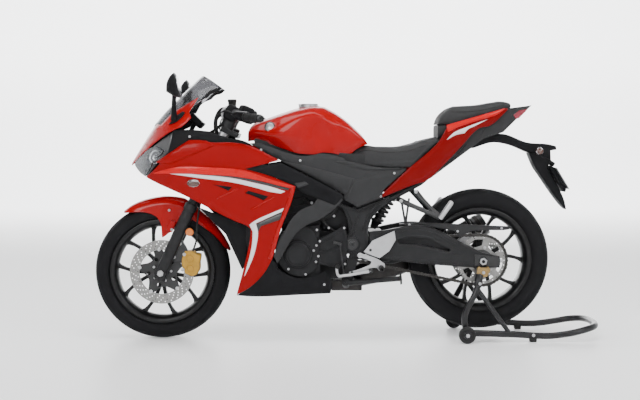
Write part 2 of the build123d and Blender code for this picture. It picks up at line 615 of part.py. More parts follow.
inner_cowl = both_sides((inner_cowl & hull_solid) - side_cowl_left)

lens_outline = [
    (922, 763), (903, 787), (848, 828), (812, 837), (775, 820), (786, 803), (827, 764), (843, 738),
    (850, 722), (877, 701), (905, 735)]
lens_rows = [(x, [(max(y - skin - 1, 0), z - 1) for y, z in row]) for x, row in hull_rows[:5]]
headlights = both_sides(body_loft(lens_rows) & prism(lens_outline, 6, wide))
nose_shell_outline = [
    (928, 750), (897, 786), (820, 848), (740, 900), (700, 890), (764, 794), (830, 728), (866, 700),
    (905, 728)]
nose_shell = body_loft(lens_rows) & prism(nose_shell_outline, -wide, wide)
nose_shell -= prism([(700, 600), (700, 960), (838, 800), (850, 600)], -150, 150)
nose_shell -= headlights
inner_fairing += nose_shell

# instruments, mirrors and lamps
dash_plane = Plane(origin=(600, 0, 1010), z_dir=Vector(-0.7, 0, 0.714), x_dir=across)
dash = dash_plane * Box(150, 74, 34) + rod((606, 0, 1004), (690, 0, 880), 9)
mirror_outline = [
    (721, 1135), (711, 1125), (701, 1090), (696, 1041), (699, 1031), (721, 1041), (756, 1058),
    (751, 1090), (738, 1120)]
mirror_stem = rod((735, 150, 934), (733, 238, 1066), 11)
mirror_shell = prism(mirror_outline, 214, 356)
mirror_cut = prism([(680, 1010), (712, 1010), (720, 1150), (680, 1150)], 220, 350)
mirror_cut &= prism([(690, 1036), (703, 1036), (716, 1128), (700, 1128)], 220, 350)
mirror_left = mirror_shell - mirror_cut
mirror_left += mirror_stem
mirror_left -= hull_solid
mirrors = both_sides(mirror_left)
glass_outline = [(701.4, 1042), (703.4, 1042), (714.8, 1122), (712.8, 1122)]
mirror_glass = both_sides(prism(glass_outline, 224, 346))

# ---------------------------------------------------------------- side covers and tail
cover_rows = [
    (440, [(150, 880), (158, 800), (150, 560)]),
    (250, [(146, 870), (158, 740), (154, 560)]),
    (60, [(134, 870), (148, 700), (142, 560)]),
    (-100, [(130, 860), (136, 690), (134, 560)]),
    (-260, [(132, 860), (134, 690), (134, 560)]),
]
cover_outline = [
    (423, 848), (382, 850), (353, 840), (231, 800), (187, 795), (114, 805), (21, 786), (6, 768),
    (-122, 742), (-247, 738), (-146, 647), (-140, 615), (-37, 576), (20, 609), (20, 634), (160, 709),
    (284, 772), (423, 843)]
side_cover_left = skin_loft(cover_rows) & prism(cover_outline, 0, wide)
side_cover_right = mirror(side_cover_left, about=Plane.XZ)
tail_rows = [
    (-140, [(132, 660), (134, 640), (130, 600)]),
    (-250, [(130, 780), (134, 700), (122, 600)]),
    (-380, [(112, 960), (122, 830), (104, 640)]),
    (-430, [(108, 960), (116, 880), (92, 700)]),
    (-560, [(96, 1010), (104, 940), (74, 800)]),
    (-700, [(70, 1020), (76, 990), (52, 890)]),
]
tail_outline = [
    (-143, 633), (-252, 738), (-380, 850), (-424, 922), (-536, 956), (-685, 1000), (-690, 993),
    (-611, 923), (-561, 911), (-493, 842), (-403, 748), (-329, 686), (-288, 674), (-143, 617)]
tail_cowl = both_sides(skin_loft(tail_rows) & prism(tail_outline, 0, wide) - side_cover_left)
stays = [   # x, y, z of the frame end, then of the far end, radius
    ((150, 106, 664), (150, 151, 682), 6),
    ((-300, 84, 678), (-300, 119.5, 686), 6),
    ((-60, 98, 578), (-60, 133.5, 592), 6),
    ((-240, 88, 640), (-240, 88, 745), 8),
    ((352, 30, 735), (352, 30, 862), 9),
]
for start, end, radius in stays:
    main_frame += both_sides(rod(start, end, radius) - side_cover_left - tail_cowl)
fairing_stays = [
    ((690, 60, 878), (695, 230, 880), 6),
    ((300, 110, 606), (300, 230, 606), 6),
]
for start, end, radius in fairing_stays:
    main_frame += both_sides((rod(start, end, radius) & hull_solid) - hull)
main_frame -= rider_seat
main_frame -= fuel_tank
radiator_lug = [(408, 621.9), (424, 624.7), (458, 590), (440, 590)]     # ends just under the down tube
radiator += both_sides(prism(radiator_lug, 92, 100))
dash -= main_frame
belly_stay = rod((230, 60, 290), (250, 230, 268), 6) & hull_solid
belly_pan += both_sides(belly_stay - belly_side) - engine_block
tail_centre_outline = [
    (-354, 694), (-555, 844), (-588, 868), (-672, 896), (-723, 947), (-768, 987), (-794, 1012),
    (-712, 1001), (-609, 995), (-488, 970), (-424, 950), (-404, 905), (-397, 848), (-330, 732)]
tail_centre = prism(tail_centre_outline, -66, 66)
tail_hollow = [
    (-380, 745), (-560, 925), (-640, 950), (-690, 960), (-640, 905), (-580, 885), (-540, 850),
    (-380, 720)]
tail_centre -= prism(tail_hollow, -56, 56)
tail_light = prism([(-728, 955), (-767, 988), (-773, 994), (-741, 984.5), (-720.5, 968)], -42, 42)
tail_centre -= prism([(-722, 930), (-800, 990), (-774, 997), (-740, 985), (-718, 968)], -42.3, 42.3)
tail_centre -= pillion_seat
tail_centre -= both_sides(tube(rail_route, rail_tube + joint_gap, bend_radius))
tail_centre -= disc(Vector(seat_cross[0], 0, seat_cross[1]), cross_tube + joint_gap, -wide, wide)
plate_arm = [
    (-547, 826), (-535, 850), (-590, 884), (-640, 890), (-679, 892), (-783, 854), (-877, 846),
    (-913, 837), (-915, 818), (-887, 816), (-889, 778), (-877, 769), (-783, 809), (-708, 839),
    (-632, 849)]
plate_holder = prism(plate_arm, -34, 34) - tail_centre
flap = [(-877, 772), (-830, 721), (-948, 566), (-962, 556), (-950, 600), (-874, 745), (-889, 778)]
plate_holder += prism(flap, -40, 40)
license_plate = prism([(-899, 743), (-902, 742), (-958, 650), (-955, 649)], -88, 88)
plate_holder += prism([(-870, 748), (-899, 743), (-955, 649), (-948, 630), (-880, 730)], -30, 30)
signal_outline = [(678, 680), (668, 688), (640, 688), (628, 680), (640, 672), (668, 672)]
turn_signals = both_sides(prism(signal_outline, 190, 212) - hull_solid)
rear_signal = rod((-825, 34, 814), (-825, 70, 814), 6) + rod((-825, 66, 814), (-825, 108, 814), 15)
turn_signals += both_sides(rear_signal)

# ---------------------------------------------------------------- foot controls and guards
foot_outline = [
    (-40, 385), (-46, 376), (-106, 348), (-147, 334), (-152, 312), (-92, 304), (-5, 300), (0, 340),
    (-10, 380)]
heel_outline = [
    (-60, 380), (-96, 430), (-178, 476), (-194, 476), (-192, 430), (-160, 380), (-124, 364), (-65, 362)]
foot_inner, foot_outer = 139.5, 149.5
peg_at = Vector(-136, 0, 320)
footrest = prism(foot_outline, foot_inner, foot_outer) + prism(heel_outline, foot_inner + 6, foot_outer)
footrest += prism([(-62, 354), (-12, 354), (-12, 378), (-40, 378), (-58, 366)], plate_outer, foot_inner)
footrest += disc(peg_at, 9, foot_outer, 235) + disc(peg_at, 13, foot_outer, 160)
pillion_foot = rod((-212, 92, 626), (-384, 156, 548), 8) + rod((-284, 86, 664), (-384, 156, 548), 8)
pillion_foot += rod((-376, 148, 535), (-400, 164, 556), 10)
pillion_foot += rod((-388, 166, 540), (-434, 174, 606), 9)
pillion_foot -= tail_cowl
footrests = both_sides(footrest)
pillion_brackets = both_sides(pillion_foot) - main_frame
shift_lever = rod((-92, 156, 306), (40, 166, 286), 6) + rod((40, 162, 286), (52, 170, 328), 6)
shift_lever += rod((50, 164, 326), (50, 206, 326), 8) + rod((-92, foot_outer, 306), (-92, 164, 306), 8)
shift_lever += rod((20, 156, 292), (40, 156, 420), 4) + rod((40, plate_outer + 13, 420), (40, 160, 420), 6)
brake_pedal = rod((-92, -156, 306), (40, -166, 286), 6) + rod((40, -162, 286), (44, -206, 292), 8)
brake_pedal += rod((-92, -foot_outer, 306), (-92, -164, 306), 8)
pedals = shift_lever + brake_pedal

chain_guard = prism([
    (-221, 503), (-302, 506), (-548, 496), (-704, 489), (-697, 481), (-603, 474), (-526, 470), (-470, 476),
    (-428, 476), (-300, 494), (-221, 496)], chain_y - 14, arm_inner - joint_gap)
guard_hollow = [
    (-240, 480), (-300, 490), (-440, 472), (-526, 466), (-690, 476), (-690, 484), (-548, 490),
    (-300, 500), (-240, 500)]
chain_guard -= prism(guard_hollow, 0, arm_inner - 4)
rear_caliper_outline = [(-470, 392), (-540, 446), (-566, 430), (-560, 400), (-520, 372), (-484, 366)]
rear_caliper = prism(rear_caliper_outline, -arm_inner + 1, -58)
rear_caliper -= disc(rear_axle, rear_disc_radius + 3, rear_disc_y - 3, rear_disc_y + disc_thick + 3)
rear_caliper -= disc(rear_axle, 76, -wide, wide)
torque_outline = [(-540, 400), (-480, 386), (-470, 360), (-500, 350), (-560, 350)]
torque_arm = prism(torque_outline, -arm_inner + joint_gap, -88)
rear_caliper += torque_arm - disc(rear_axle, 15, -wide, wide)

# ---------------------------------------------------------------- side stand
side_pivot = Vector(12, 128, 250)
side_folded = Vector(-0.994, 0.06, 0.09).normalized()
side_down = Vector(0.28, 0.40, -0.87).normalized()
side_axis = side_down.cross(side_folded).normalized()
side_length = 236.0
side_foot = side_pivot + side_folded * side_length
side_stand = rod(side_pivot - side_axis * 11, side_pivot + side_axis * 11, 16)
side_stand += rod(side_pivot + side_folded * 6, side_foot, 11)
foot_plane = Plane(origin=side_foot, z_dir=side_folded, x_dir=side_axis)
side_stand += foot_plane * Box(54, 36, 9)
side_stand -= rod(side_pivot - side_axis * 30, side_pivot + side_axis * 30, 5.05)
stand_lug = rod(side_pivot - side_axis * 20, side_pivot - side_axis * 11.4, 16)
stand_lug += prism([(-4, 372), (-46, 372), (-10, 236), (20, 230), (30, 262)], 103, 117)
main_frame += stand_lug - rod(side_pivot - side_axis * 11.4, side_pivot + side_axis * 40, 22)
main_frame += rod(side_pivot - side_axis * 14, side_pivot + side_axis * 15, 5)

# ---------------------------------------------------------------- paddock stand
roller_radius = 36.0
roller_at = Vector(-500, 205, roller_radius)
rail_y = 168.0
rail_radius = 14.0
handle_x = -drawn_length / 2 + rail_radius
paddock_stand = None
stand_route = [
    (-500, rail_y, 40), (-900, rail_y, 26), (-1040, rail_y - 30, 84), (handle_x, rail_y - 70, 60),
    (handle_x, 0, 60)]
side_frame = tube(stand_route, rail_radius, 36)
side_frame += rod((-500, rail_y, 40), (-492, 176, 104), 13) + rod((-492, 176, 104), (-546, 170, 232), 13)
side_frame += rod((-549, 168, 226), (-690, rail_y, 33), 10)
side_frame += rod((-546, 170, 222), (-560, 150, 292), 11)
side_frame += rod((-500, rail_y - 4, roller_radius), (-500, roller_at.Y + 18, roller_radius), 9)
side_frame += Pos(-787, rail_y, 14) * Box(50, 30, 28)
paddock_stand = both_sides(side_frame)
hook_outline = [(-604, 306), (-600, 315.4), (-548, 315.4), (-546, 290), (-560, 274), (-590, 278)]
hook_lip = [(-600, 315), (-594, 324), (-556, 324), (-548, 315)]
stand_hook = prism(hook_outline, arm_inner + 4, 162) + prism(hook_lip, arm_outer + 4, 162)
stand_hooks = both_sides(stand_hook) - paddock_stand
roller = disc(Vector(roller_at.X, 0, roller_radius), roller_radius, roller_at.Y - 14, roller_at.Y + 14)
roller -= disc(Vector(roller_at.X, 0, roller_radius), 9.06, -wide, wide)
roller_left = roller
roller_right = mirror(roller, about=Plane.XZ)

parts = {
    "front_rim": front_rim, "front_tyre": front_tyre, "front_disc": front_disc, "rear_rim": rear_rim,
    "rear_tyre": rear_tyre, "rear_sprocket": rear_sprocket, "rear_disc": rear_disc,
    "drive_chain": drive_chain, "fork_legs": fork_legs, "triple_clamps": triple_clamps,
    "handlebars": handlebars, "grips": grips, "hand_controls": hand_controls,
    "front_fender": front_fender, "front_caliper": front_caliper, "main_frame": main_frame,
    "swingarm": swingarm, "shock_absorber": shock_absorber, "engine_block": engine_block,
    "engine_covers": engine_covers, "radiator": radiator, "exhaust_pipes": exhaust_pipes,
    "muffler": muffler, "fuel_tank": fuel_tank, "filler_ring": filler_ring, "fuel_cap": fuel_cap,
    "rider_seat": rider_seat, "pillion_seat": pillion_seat, "nose_cowl": nose_cowl,
    "windscreen": windscreen, "headlights": headlights, "inner_fairing": inner_fairing,
    "side_cowl_left": side_cowl_left, "side_cowl_right": side_cowl_right,
    "black_panel_left": black_panel_left, "black_panel_right": black_panel_right,
    "belly_pan": belly_pan, "inner_cowl": inner_cowl, "dash": dash, "mirrors": mirrors,
    "mirror_glass": mirror_glass, "side_cover_left": side_cover_left,
    "side_cover_right": side_cover_right, "tail_cowl": tail_cowl, "tail_centre": tail_centre,
    "tail_light": tail_light, "plate_holder": plate_holder, "license_plate": license_plate,
    "turn_signals": turn_signals, "footrests": footrests, "pillion_brackets": pillion_brackets,
    "pedals": pedals, "chain_guard": chain_guard, "rear_caliper": rear_caliper,
    "side_stand": side_stand, "paddock_stand": paddock_stand, "stand_hooks": stand_hooks,
    "roller_left": roller_left, "roller_right": roller_right,
}
os.makedirs("parts", exist_ok=True)
for name, shape in parts.items():
    if overall_length != drawn_length:
        shape = scale(shape, overall_length / drawn_length)
    export_step(shape, f"parts/{name}.step")
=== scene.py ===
import bpy
import json
import numpy as np
from math import cos, pi, radians, sin
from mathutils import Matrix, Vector
from mathutils.geometry import delaunay_2d_cdt


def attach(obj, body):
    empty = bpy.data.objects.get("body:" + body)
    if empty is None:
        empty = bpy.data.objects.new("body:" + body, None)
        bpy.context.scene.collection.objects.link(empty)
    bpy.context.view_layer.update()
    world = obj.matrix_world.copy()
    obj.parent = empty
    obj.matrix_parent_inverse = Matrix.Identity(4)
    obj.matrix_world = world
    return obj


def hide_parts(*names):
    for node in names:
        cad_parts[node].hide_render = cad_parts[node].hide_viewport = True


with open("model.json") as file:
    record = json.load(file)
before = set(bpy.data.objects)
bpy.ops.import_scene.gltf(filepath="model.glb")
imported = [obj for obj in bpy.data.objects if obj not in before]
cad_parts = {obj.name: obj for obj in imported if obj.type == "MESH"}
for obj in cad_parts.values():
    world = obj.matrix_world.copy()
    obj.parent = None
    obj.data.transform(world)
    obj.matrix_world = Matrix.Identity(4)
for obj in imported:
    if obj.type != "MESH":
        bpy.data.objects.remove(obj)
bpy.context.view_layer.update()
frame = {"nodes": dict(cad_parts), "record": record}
mm = 0.001


# materials
def nodeGroup(name, inputs, outputs):
    group = bpy.data.node_groups.new(name, "ShaderNodeTree")
    for label, kind, value in inputs:
        socket = group.interface.new_socket(label, in_out="INPUT", socket_type=kind)
        socket.default_value = value
    for label, kind in outputs:
        group.interface.new_socket(label, in_out="OUTPUT", socket_type=kind)
    return group, group.nodes.new("NodeGroupInput"), group.nodes.new("NodeGroupOutput")


def shaderNode(tree, kind, **values):
    node = tree.nodes.new("ShaderNode" + kind)
    for label, value in values.items():
        node.inputs[label.replace("_", " ")].default_value = value
    return node


def wire(tree, *joins):
    for source, output, target, entry in joins:
        tree.links.new(source.outputs[output], target.inputs[entry])


def grainGroup():  # object-space noise as a soft normal with rounded edges
    group, entry, leave = nodeGroup(
        "surfaceGrain",
        [("Scale", "NodeSocketFloat", 400.0), ("Strength", "NodeSocketFloat", 0.1),
         ("Distance", "NodeSocketFloat", 0.0005), ("Edge", "NodeSocketFloat", 0.0)],
        [("Normal", "NodeSocketVector"), ("Mask", "NodeSocketFloat")])
    coords = shaderNode(group, "TexCoord")
    noise = shaderNode(group, "TexNoise", Detail=5.0)
    bump = shaderNode(group, "Bump")
    edge = shaderNode(group, "Bevel")
    wire(group, (entry, "Edge", edge, "Radius"), (edge, "Normal", bump, "Normal"),
         (coords, "Object", noise, "Vector"), (entry, "Scale", noise, "Scale"),
         (noise, "Fac", bump, "Height"), (entry, "Strength", bump, "Strength"),
         (entry, "Distance", bump, "Distance"), (bump, "Normal", leave, "Normal"),
         (noise, "Fac", leave, "Mask"))
    return group


def mottleGroup():  # slow change between two values, for colour and roughness
    group, entry, leave = nodeGroup(
        "slowMottle",
        [("Colour A", "NodeSocketColor", (0.1, 0.1, 0.1, 1)),
         ("Colour B", "NodeSocketColor", (0.1, 0.1, 0.1, 1)), ("Scale", "NodeSocketFloat", 20.0),
         ("Rough Low", "NodeSocketFloat", 0.3), ("Rough High", "NodeSocketFloat", 0.4)],
        [("Colour", "NodeSocketColor"), ("Roughness", "NodeSocketFloat")])
    coords = shaderNode(group, "TexCoord")
    noise = shaderNode(group, "TexNoise", Detail=7.0, Roughness=0.65)
    spread = shaderNode(group, "MapRange", From_Min=0.35, From_Max=0.65)
    mix = shaderNode(group, "Mix")
    mix.data_type = "RGBA"
    rough = shaderNode(group, "MapRange")
    wire(group, (coords, "Object", noise, "Vector"), (entry, "Scale", noise, "Scale"),
         (noise, "Fac", spread, "Value"), (spread, "Result", mix, "Factor"),
         (spread, "Result", rough, "Value"), (entry, "Colour A", mix, "A"), (entry, "Colour B", mix, "B"),
         (entry, "Rough Low", rough, "To Min"), (entry, "Rough High", rough, "To Max"),
         (mix, "Result", leave, "Colour"), (rough, "Result", leave, "Roughness"))
    return group


grain, mottle = grainGroup(), mottleGroup()


# colour and roughness wander by vary at scale; bump and depth give the fine grain, edge rounds the corners
def finish(name, colour, rough, vary=0.12, scale=18.0, bumpScale=500.0, bump=0.05, depth=0.0003, edge=0.0,
           **sockets):
    material = bpy.data.materials.new(name)
    material.use_nodes = True
    tree = material.node_tree
    shader = tree.nodes["Principled BSDF"]
    low = [c * (1 - vary) for c in colour]
    high = [min(c * (1 + vary), 1.0) for c in colour]
    tone, skin = tree.nodes.new("ShaderNodeGroup"), tree.nodes.new("ShaderNodeGroup")
    tone.node_tree, skin.node_tree = mottle, grain
    for group, values in ((tone, {"Colour A": (*low, 1), "Colour B": (*high, 1), "Scale": scale,
                                  "Rough Low": rough[0], "Rough High": rough[1]}),
                          (skin, {"Scale": bumpScale, "Strength": bump, "Distance": depth, "Edge": edge})):
        for label, value in values.items():
            group.inputs[label].default_value = value
    for label, value in sockets.items():
        shader.inputs[label.replace("_", " ")].default_value = value
    wire(tree, (tone, "Colour", shader, "Base Color"), (tone, "Roughness", shader, "Roughness"),
         (skin, "Normal", shader, "Normal"))
    return material


redPaint = finish("redPaint", (0.34, 0.0004, 0.0012), (0.26, 0.30), 0.015, 9, 60, 0.015, 0.0002,
                  Coat_Weight=0.28, Coat_Roughness=0.05, Specular_IOR_Level=0.08)
# a lighter copy of the red paint: painted highlight for the strips along the side cowl's ridge and the tail's
# top, which face the light
highlightRed = finish("highlightRed", (0.55, 0.0012, 0.0025), (0.26, 0.30), 0.015, 9, 60, 0.015, 0.0002,
                   Coat_Weight=0.3, Coat_Roughness=0.05, Specular_IOR_Level=0.1)
# a darker, less glossy copy of the red paint: painted shade for the side cowl's flank, which faces sideways
# and down
flankShadeRed = finish("flankShadeRed", (0.26, 0.0003, 0.0012), (0.3, 0.34), 0.015, 9, 60, 0.015, 0.0002,
                  Coat_Weight=0.14, Coat_Roughness=0.05, Specular_IOR_Level=0.05)
# a darker copy of the red paint: painted shade for the tail
tailShadeRed = finish("tailShadeRed", (0.17, 0.0003, 0.0012), (0.3, 0.34), 0.015, 9, 60, 0.015, 0.0002,
                 Coat_Weight=0.14, Coat_Roughness=0.05, Specular_IOR_Level=0.05)
whiteDecal = finish("whiteDecal", (0.78, 0.78, 0.79), (0.3, 0.36), 0.03, 12, 200, 0.03, Coat_Weight=0.6)
blackDecal = finish("blackDecal", (0.012, 0.012, 0.013), (0.3, 0.4), 0.1, 12, 200, 0.03, Coat_Weight=0.4)
darkPlastic = finish("darkPlastic", (0.017, 0.017, 0.018), (0.5, 0.6), 0.15, 14, 900, 0.25, 0.0004,
        Specular_IOR_Level=0.3)
deepPlastic = finish("deepPlastic", (0.006, 0.006, 0.007), (0.5, 0.62), 0.2, 20, 700, 0.2, 0.0004,
        Specular_IOR_Level=0.12)
satinBlack = finish("satinBlack", (0.012, 0.012, 0.013), (0.34, 0.44), 0.15, 22, 500, 0.1, edge=0.0016)
frameBlack = finish("frameBlack", (0.014, 0.014, 0.015), (0.36, 0.48), 0.18, 26, 420, 0.16, 0.0004,
                    edge=0.0016, Metallic=0.3, Specular_IOR_Level=0.3)
wheelBlack = finish("wheelBlack", (0.006, 0.006, 0.0065), (0.3, 0.4), 0.15, 24, 500, 0.06, Coat_Weight=0.12,
                    Specular_IOR_Level=0.2)
engineBlack = finish("engineBlack", (0.013, 0.013, 0.014), (0.44, 0.56), 0.2, 30, 600, 0.3, 0.0005,
        edge=0.0016, Metallic=0.2, Specular_IOR_Level=0.2)
tyreRubber = finish("tyreRubber", (0.008, 0.008, 0.009), (0.62, 0.76), 0.18, 30, 900, 0.25, 0.0004,
                    Specular_IOR_Level=0.12)
blackRubber = finish("blackRubber", (0.011, 0.011, 0.011), (0.6, 0.72), 0.15, 30, 700, 0.25, 0.0004,
        Specular_IOR_Level=0.3)
seatVinyl = finish("seatVinyl", (0.026, 0.026, 0.027), (0.62, 0.74), 0.12, 30, 1300, 0.45, 0.0005,
                   Specular_IOR_Level=0.25)
silverAlloy = finish("silverAlloy", (0.5, 0.5, 0.51), (0.3, 0.42), 0.06, 40, 600, 0.1, edge=0.0016,
        Metallic=1.0)
brushedSteel = finish("brushedSteel", (0.25, 0.247, 0.24), (0.28, 0.4), 0.08, 60, 900, 0.12, Metallic=1.0)
chainSteel = finish("chainSteel", (0.05, 0.048, 0.046), (0.35, 0.5), 0.25, 90, 900, 0.2, Metallic=1.0)
pipeSteel = finish("pipeSteel", (0.035, 0.033, 0.032), (0.44, 0.58), 0.25, 30, 400, 0.12, edge=0.0016,
                   Metallic=0.7, Specular_IOR_Level=0.3)
goldPaint = finish("goldPaint", (0.45, 0.25, 0.035), (0.34, 0.44), 0.1, 40, 500, 0.12, edge=0.0016,
                   Metallic=0.55)
brass = finish("brass", (0.3, 0.2, 0.085), (0.3, 0.4), 0.12, 50, 500, 0.1, edge=0.0016, Metallic=1.0)
standPaint = finish("standPaint", (0.008, 0.008, 0.009), (0.3, 0.36), 0.12, 20, 300, 0.08, Coat_Weight=0.25,
                    Specular_IOR_Level=0.25)
mirrorFace = finish("mirrorFace", (0.22, 0.22, 0.23), (0.02, 0.03), 0.01, 10, 60, 0.0, Metallic=1.0)
amberLens = finish("amberLens", (0.62, 0.15, 0.008), (0.16, 0.22), 0.08, 60, 300, 0.1, Coat_Weight=0.6)
smokeLens = finish("smokeLens", (0.06, 0.02, 0.012), (0.14, 0.2), 0.1, 60, 300, 0.05, Coat_Weight=0.8)
redLens = finish("redLens", (0.22, 0.006, 0.02), (0.12, 0.18), 0.15, 80, 300, 0.1, Coat_Weight=0.8)
plateMetal = finish("plateMetal", (0.38, 0.38, 0.39), (0.34, 0.46), 0.08, 30, 500, 0.1, edge=0.0016,
                    Metallic=0.8)
screenTint = finish("screenTint", (0.24, 0.24, 0.25), (0.03, 0.06), 0.05, 10, 60, 0.0,
                    Transmission_Weight=0.9, IOR=1.2)
lampGrey = finish("lampGrey", (0.03, 0.03, 0.032), (0.25, 0.35), 0.1, 30, 300, 0.05, Coat_Weight=0.4)
chromeCup = finish("chromeCup", (0.8, 0.81, 0.83), (0.15, 0.22), 0.02, 30, 200, 0.02, Metallic=0.55)
clearLens = finish("clearLens", (0.9, 0.92, 0.94), (0.02, 0.05), 0.02, 10, 60, 0.0, Transmission_Weight=1.0,
                   IOR=1.3)

# what each slot of the record is made of; the last slot of a finish is its usual one
slotLook = {
    "wheel_black": wheelBlack, "tyre": tyreRubber, "disc_steel": brushedSteel, "chain_steel": chainSteel,
    "fork_black": frameBlack, "frame_black": frameBlack, "black_rubber": blackRubber,
    "spring_black": satinBlack, "satin_black": satinBlack, "red_gloss": redPaint, "gold_metal": goldPaint,
    "engine_black": engineBlack, "pipe_steel": pipeSteel, "silver_metal": silverAlloy,
    "seat_cover": seatVinyl, "tinted_screen": screenTint, "clear_lens": clearLens,
    "grey_plastic": darkPlastic, "mirror_face": mirrorFace, "red_lens": redLens, "plate_grey": plateMetal,
    "amber_lens": smokeLens, "stand_black": standPaint, "brass_metal": brass,
}
usualSlot = {material.name: slot for slot, material in slotLook.items()}
# the lighter and darker copies of the red paint (painted highlight and painted shade) and the decals go under
# the red paint's slot
for material in (highlightRed, flankShadeRed, tailShadeRed, whiteDecal, blackDecal):
    usualSlot[material.name] = "red_gloss"
usualSlot |= {deepPlastic.name: "grey_plastic", lampGrey.name: "grey_plastic", amberLens.name: "amber_lens",
              chromeCup.name: "clear_lens"}
slotOf = {part["node"]: part["material_slot"] for part in frame["record"]["subparts"]}
for nodeName, node in frame["nodes"].items():
    node.data.materials.clear()
    node.data.materials.append(deepPlastic if nodeName == "inner_cowl" else slotLook[slotOf[nodeName]])
print("materials on", len(frame["nodes"]), "CAD pieces")


bothSides = ((1, "Left"), (-1, "Right"))


def leftOnly(side, *nodes):   # a pair of pieces stands for one CAD node, named on its left piece
    return nodes if side > 0 else ()


# a mesh piece from points in millimetres, riding a body and standing for the CAD nodes in hides
def piece(name, points, faces, material, body="chassis", hides=()):
    mesh = bpy.data.meshes.new(name)
    mesh.from_pydata((np.asarray(points, float) * mm).tolist(), [], [list(map(int, f)) for f in faces])
    mesh.validate()
    mesh.polygons.foreach_set("use_smooth", np.full(len(mesh.polygons), True))
    mesh.materials.append(material)
    obj = bpy.data.objects.new(name, mesh)
    bpy.context.scene.collection.objects.link(obj)
    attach(obj, body)
    if hides:
        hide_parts(*hides)
    return obj


def gridFaces(rows, cols, closeRows=False, closeCols=False, start=0):
    r = np.arange(rows if closeRows else rows - 1)
    c = np.arange(cols if closeCols else cols - 1)
    r, c = [a.ravel() for a in np.meshgrid(r, c, indexing="ij")]
    r2, c2 = (r + 1) % rows, (c + 1) % cols
    return np.stack([r * cols + c, r2 * cols + c, r2 * cols + c2, r * cols + c2], 1) + start


def sharpen(obj, degrees=35):
    obj.data.polygons.foreach_set("use_smooth", np.full(len(obj.data.polygons), True))
    obj.data.set_sharp_from_angle(angle=radians(degrees))


# monotone cubic through knots, columns of values taken together
def easeCurve(knots, values, at):
    knots, values, at = np.asarray(knots, float), np.asarray(values, float), np.asarray(at, float)
    flat = values.reshape(len(knots), -1)
    step = np.diff(knots)[:, None]
    slope = np.diff(flat, axis=0) / step
    tangent = np.zeros_like(flat)
    same = slope[1:] * slope[:-1] > 0
    w1, w2 = 2 * step[1:] + step[:-1], step[1:] + 2 * step[:-1]
    safe = np.where(same, slope[1:] * slope[:-1], 1.0)
    blend = (w1 + w2) * safe / np.where(same, w1 * slope[1:] + w2 * slope[:-1], 1.0)
    tangent[1:-1] = np.where(same, blend, 0.0)
    tangent[0], tangent[-1] = slope[0], slope[-1]
    i = np.clip(np.searchsorted(knots, at, side="right") - 1, 0, len(knots) - 2)
    h = (knots[i + 1] - knots[i])[:, None]
    t = ((at - knots[i])[:, None]) / h
    out = ((1 + 2 * t) * (1 - t) ** 2 * flat[i] + t * (1 - t) ** 2 * h * tangent[i]
           + t * t * (3 - 2 * t) * flat[i + 1] + t * t * (t - 1) * h * tangent[i + 1])
    return out.reshape((len(at),) + values.shape[1:])


# surface through rows of (x, ring): a cubic along x, the ring's corners rounded off where crease is low
def skinSurface(rows, crease, columns=260, perSpan=24, rounds=40):
    rows = sorted(rows, key=lambda row: row[0])
    xs = np.array([row[0] for row in rows], float)
    rings = np.array([row[1] for row in rows], float)
    at = np.linspace(xs[0], xs[-1], columns)
    table = easeCurve(xs, rings, at)
    corners = table.shape[1]
    v = np.linspace(0, corners - 1, (corners - 1) * perSpan + 1)
    low = np.minimum(v.astype(int), corners - 2)
    part = (v - low)[None, :, None]
    grid = table[:, low] * (1 - part) + table[:, low + 1] * part
    crisp = np.interp(v, np.arange(corners), crease)
    weight = (0.5 * (1 - crisp))[None, :, None]
    weight[:, 0] = weight[:, -1] = 0
    for _ in range(rounds):
        middle = grid.copy()
        middle[:, 1:-1] = (grid[:, 2:] + grid[:, :-2]) / 2
        grid = grid + (middle - grid) * weight * 2 * 0.9
    return {"x": at, "v": v, "grid": grid}


def onSurface(surface, x, v):
    xs, vs, grid = surface["x"], surface["v"], surface["grid"]
    a = np.clip((x - xs[0]) / (xs[1] - xs[0]), 0, len(xs) - 1.001)
    b = np.clip((v - vs[0]) / (vs[1] - vs[0]), 0, len(vs) - 1.001)
    i, j = a.astype(int), b.astype(int)
    s, t = (a - i)[:, None], (b - j)[:, None]
    yz = (grid[i, j] * (1 - s) * (1 - t) + grid[i + 1, j] * s * (1 - t)
          + grid[i, j + 1] * (1 - s) * t + grid[i + 1, j + 1] * s * t)
    return np.column_stack([x, yz])


# the ring parameter at which the surface stands at height z
def ringValue(surface, x, z):
    xs, vs, grid = surface["x"], surface["v"], surface["grid"]
    column = np.clip(((x - xs[0]) / (xs[1] - xs[0])), 0, len(xs) - 1.001)
    out = np.empty(len(x))
    for k, c in enumerate(column):
        i = int(c)
        heights = grid[i, :, 1] * (1 - (c - i)) + grid[i + 1, :, 1] * (c - i)
        out[k] = np.interp(-z[k], -heights, vs)
    return out


def surfaceNormal(surface, x, v):
    dx = onSurface(surface, x + 2, v) - onSurface(surface, x - 2, v)
    dv = onSurface(surface, x, v + 0.05) - onSurface(surface, x, v - 0.05)
    n = np.cross(dx, dv)
    return n / np.maximum(np.linalg.norm(n, axis=1, keepdims=True), 1e-9)


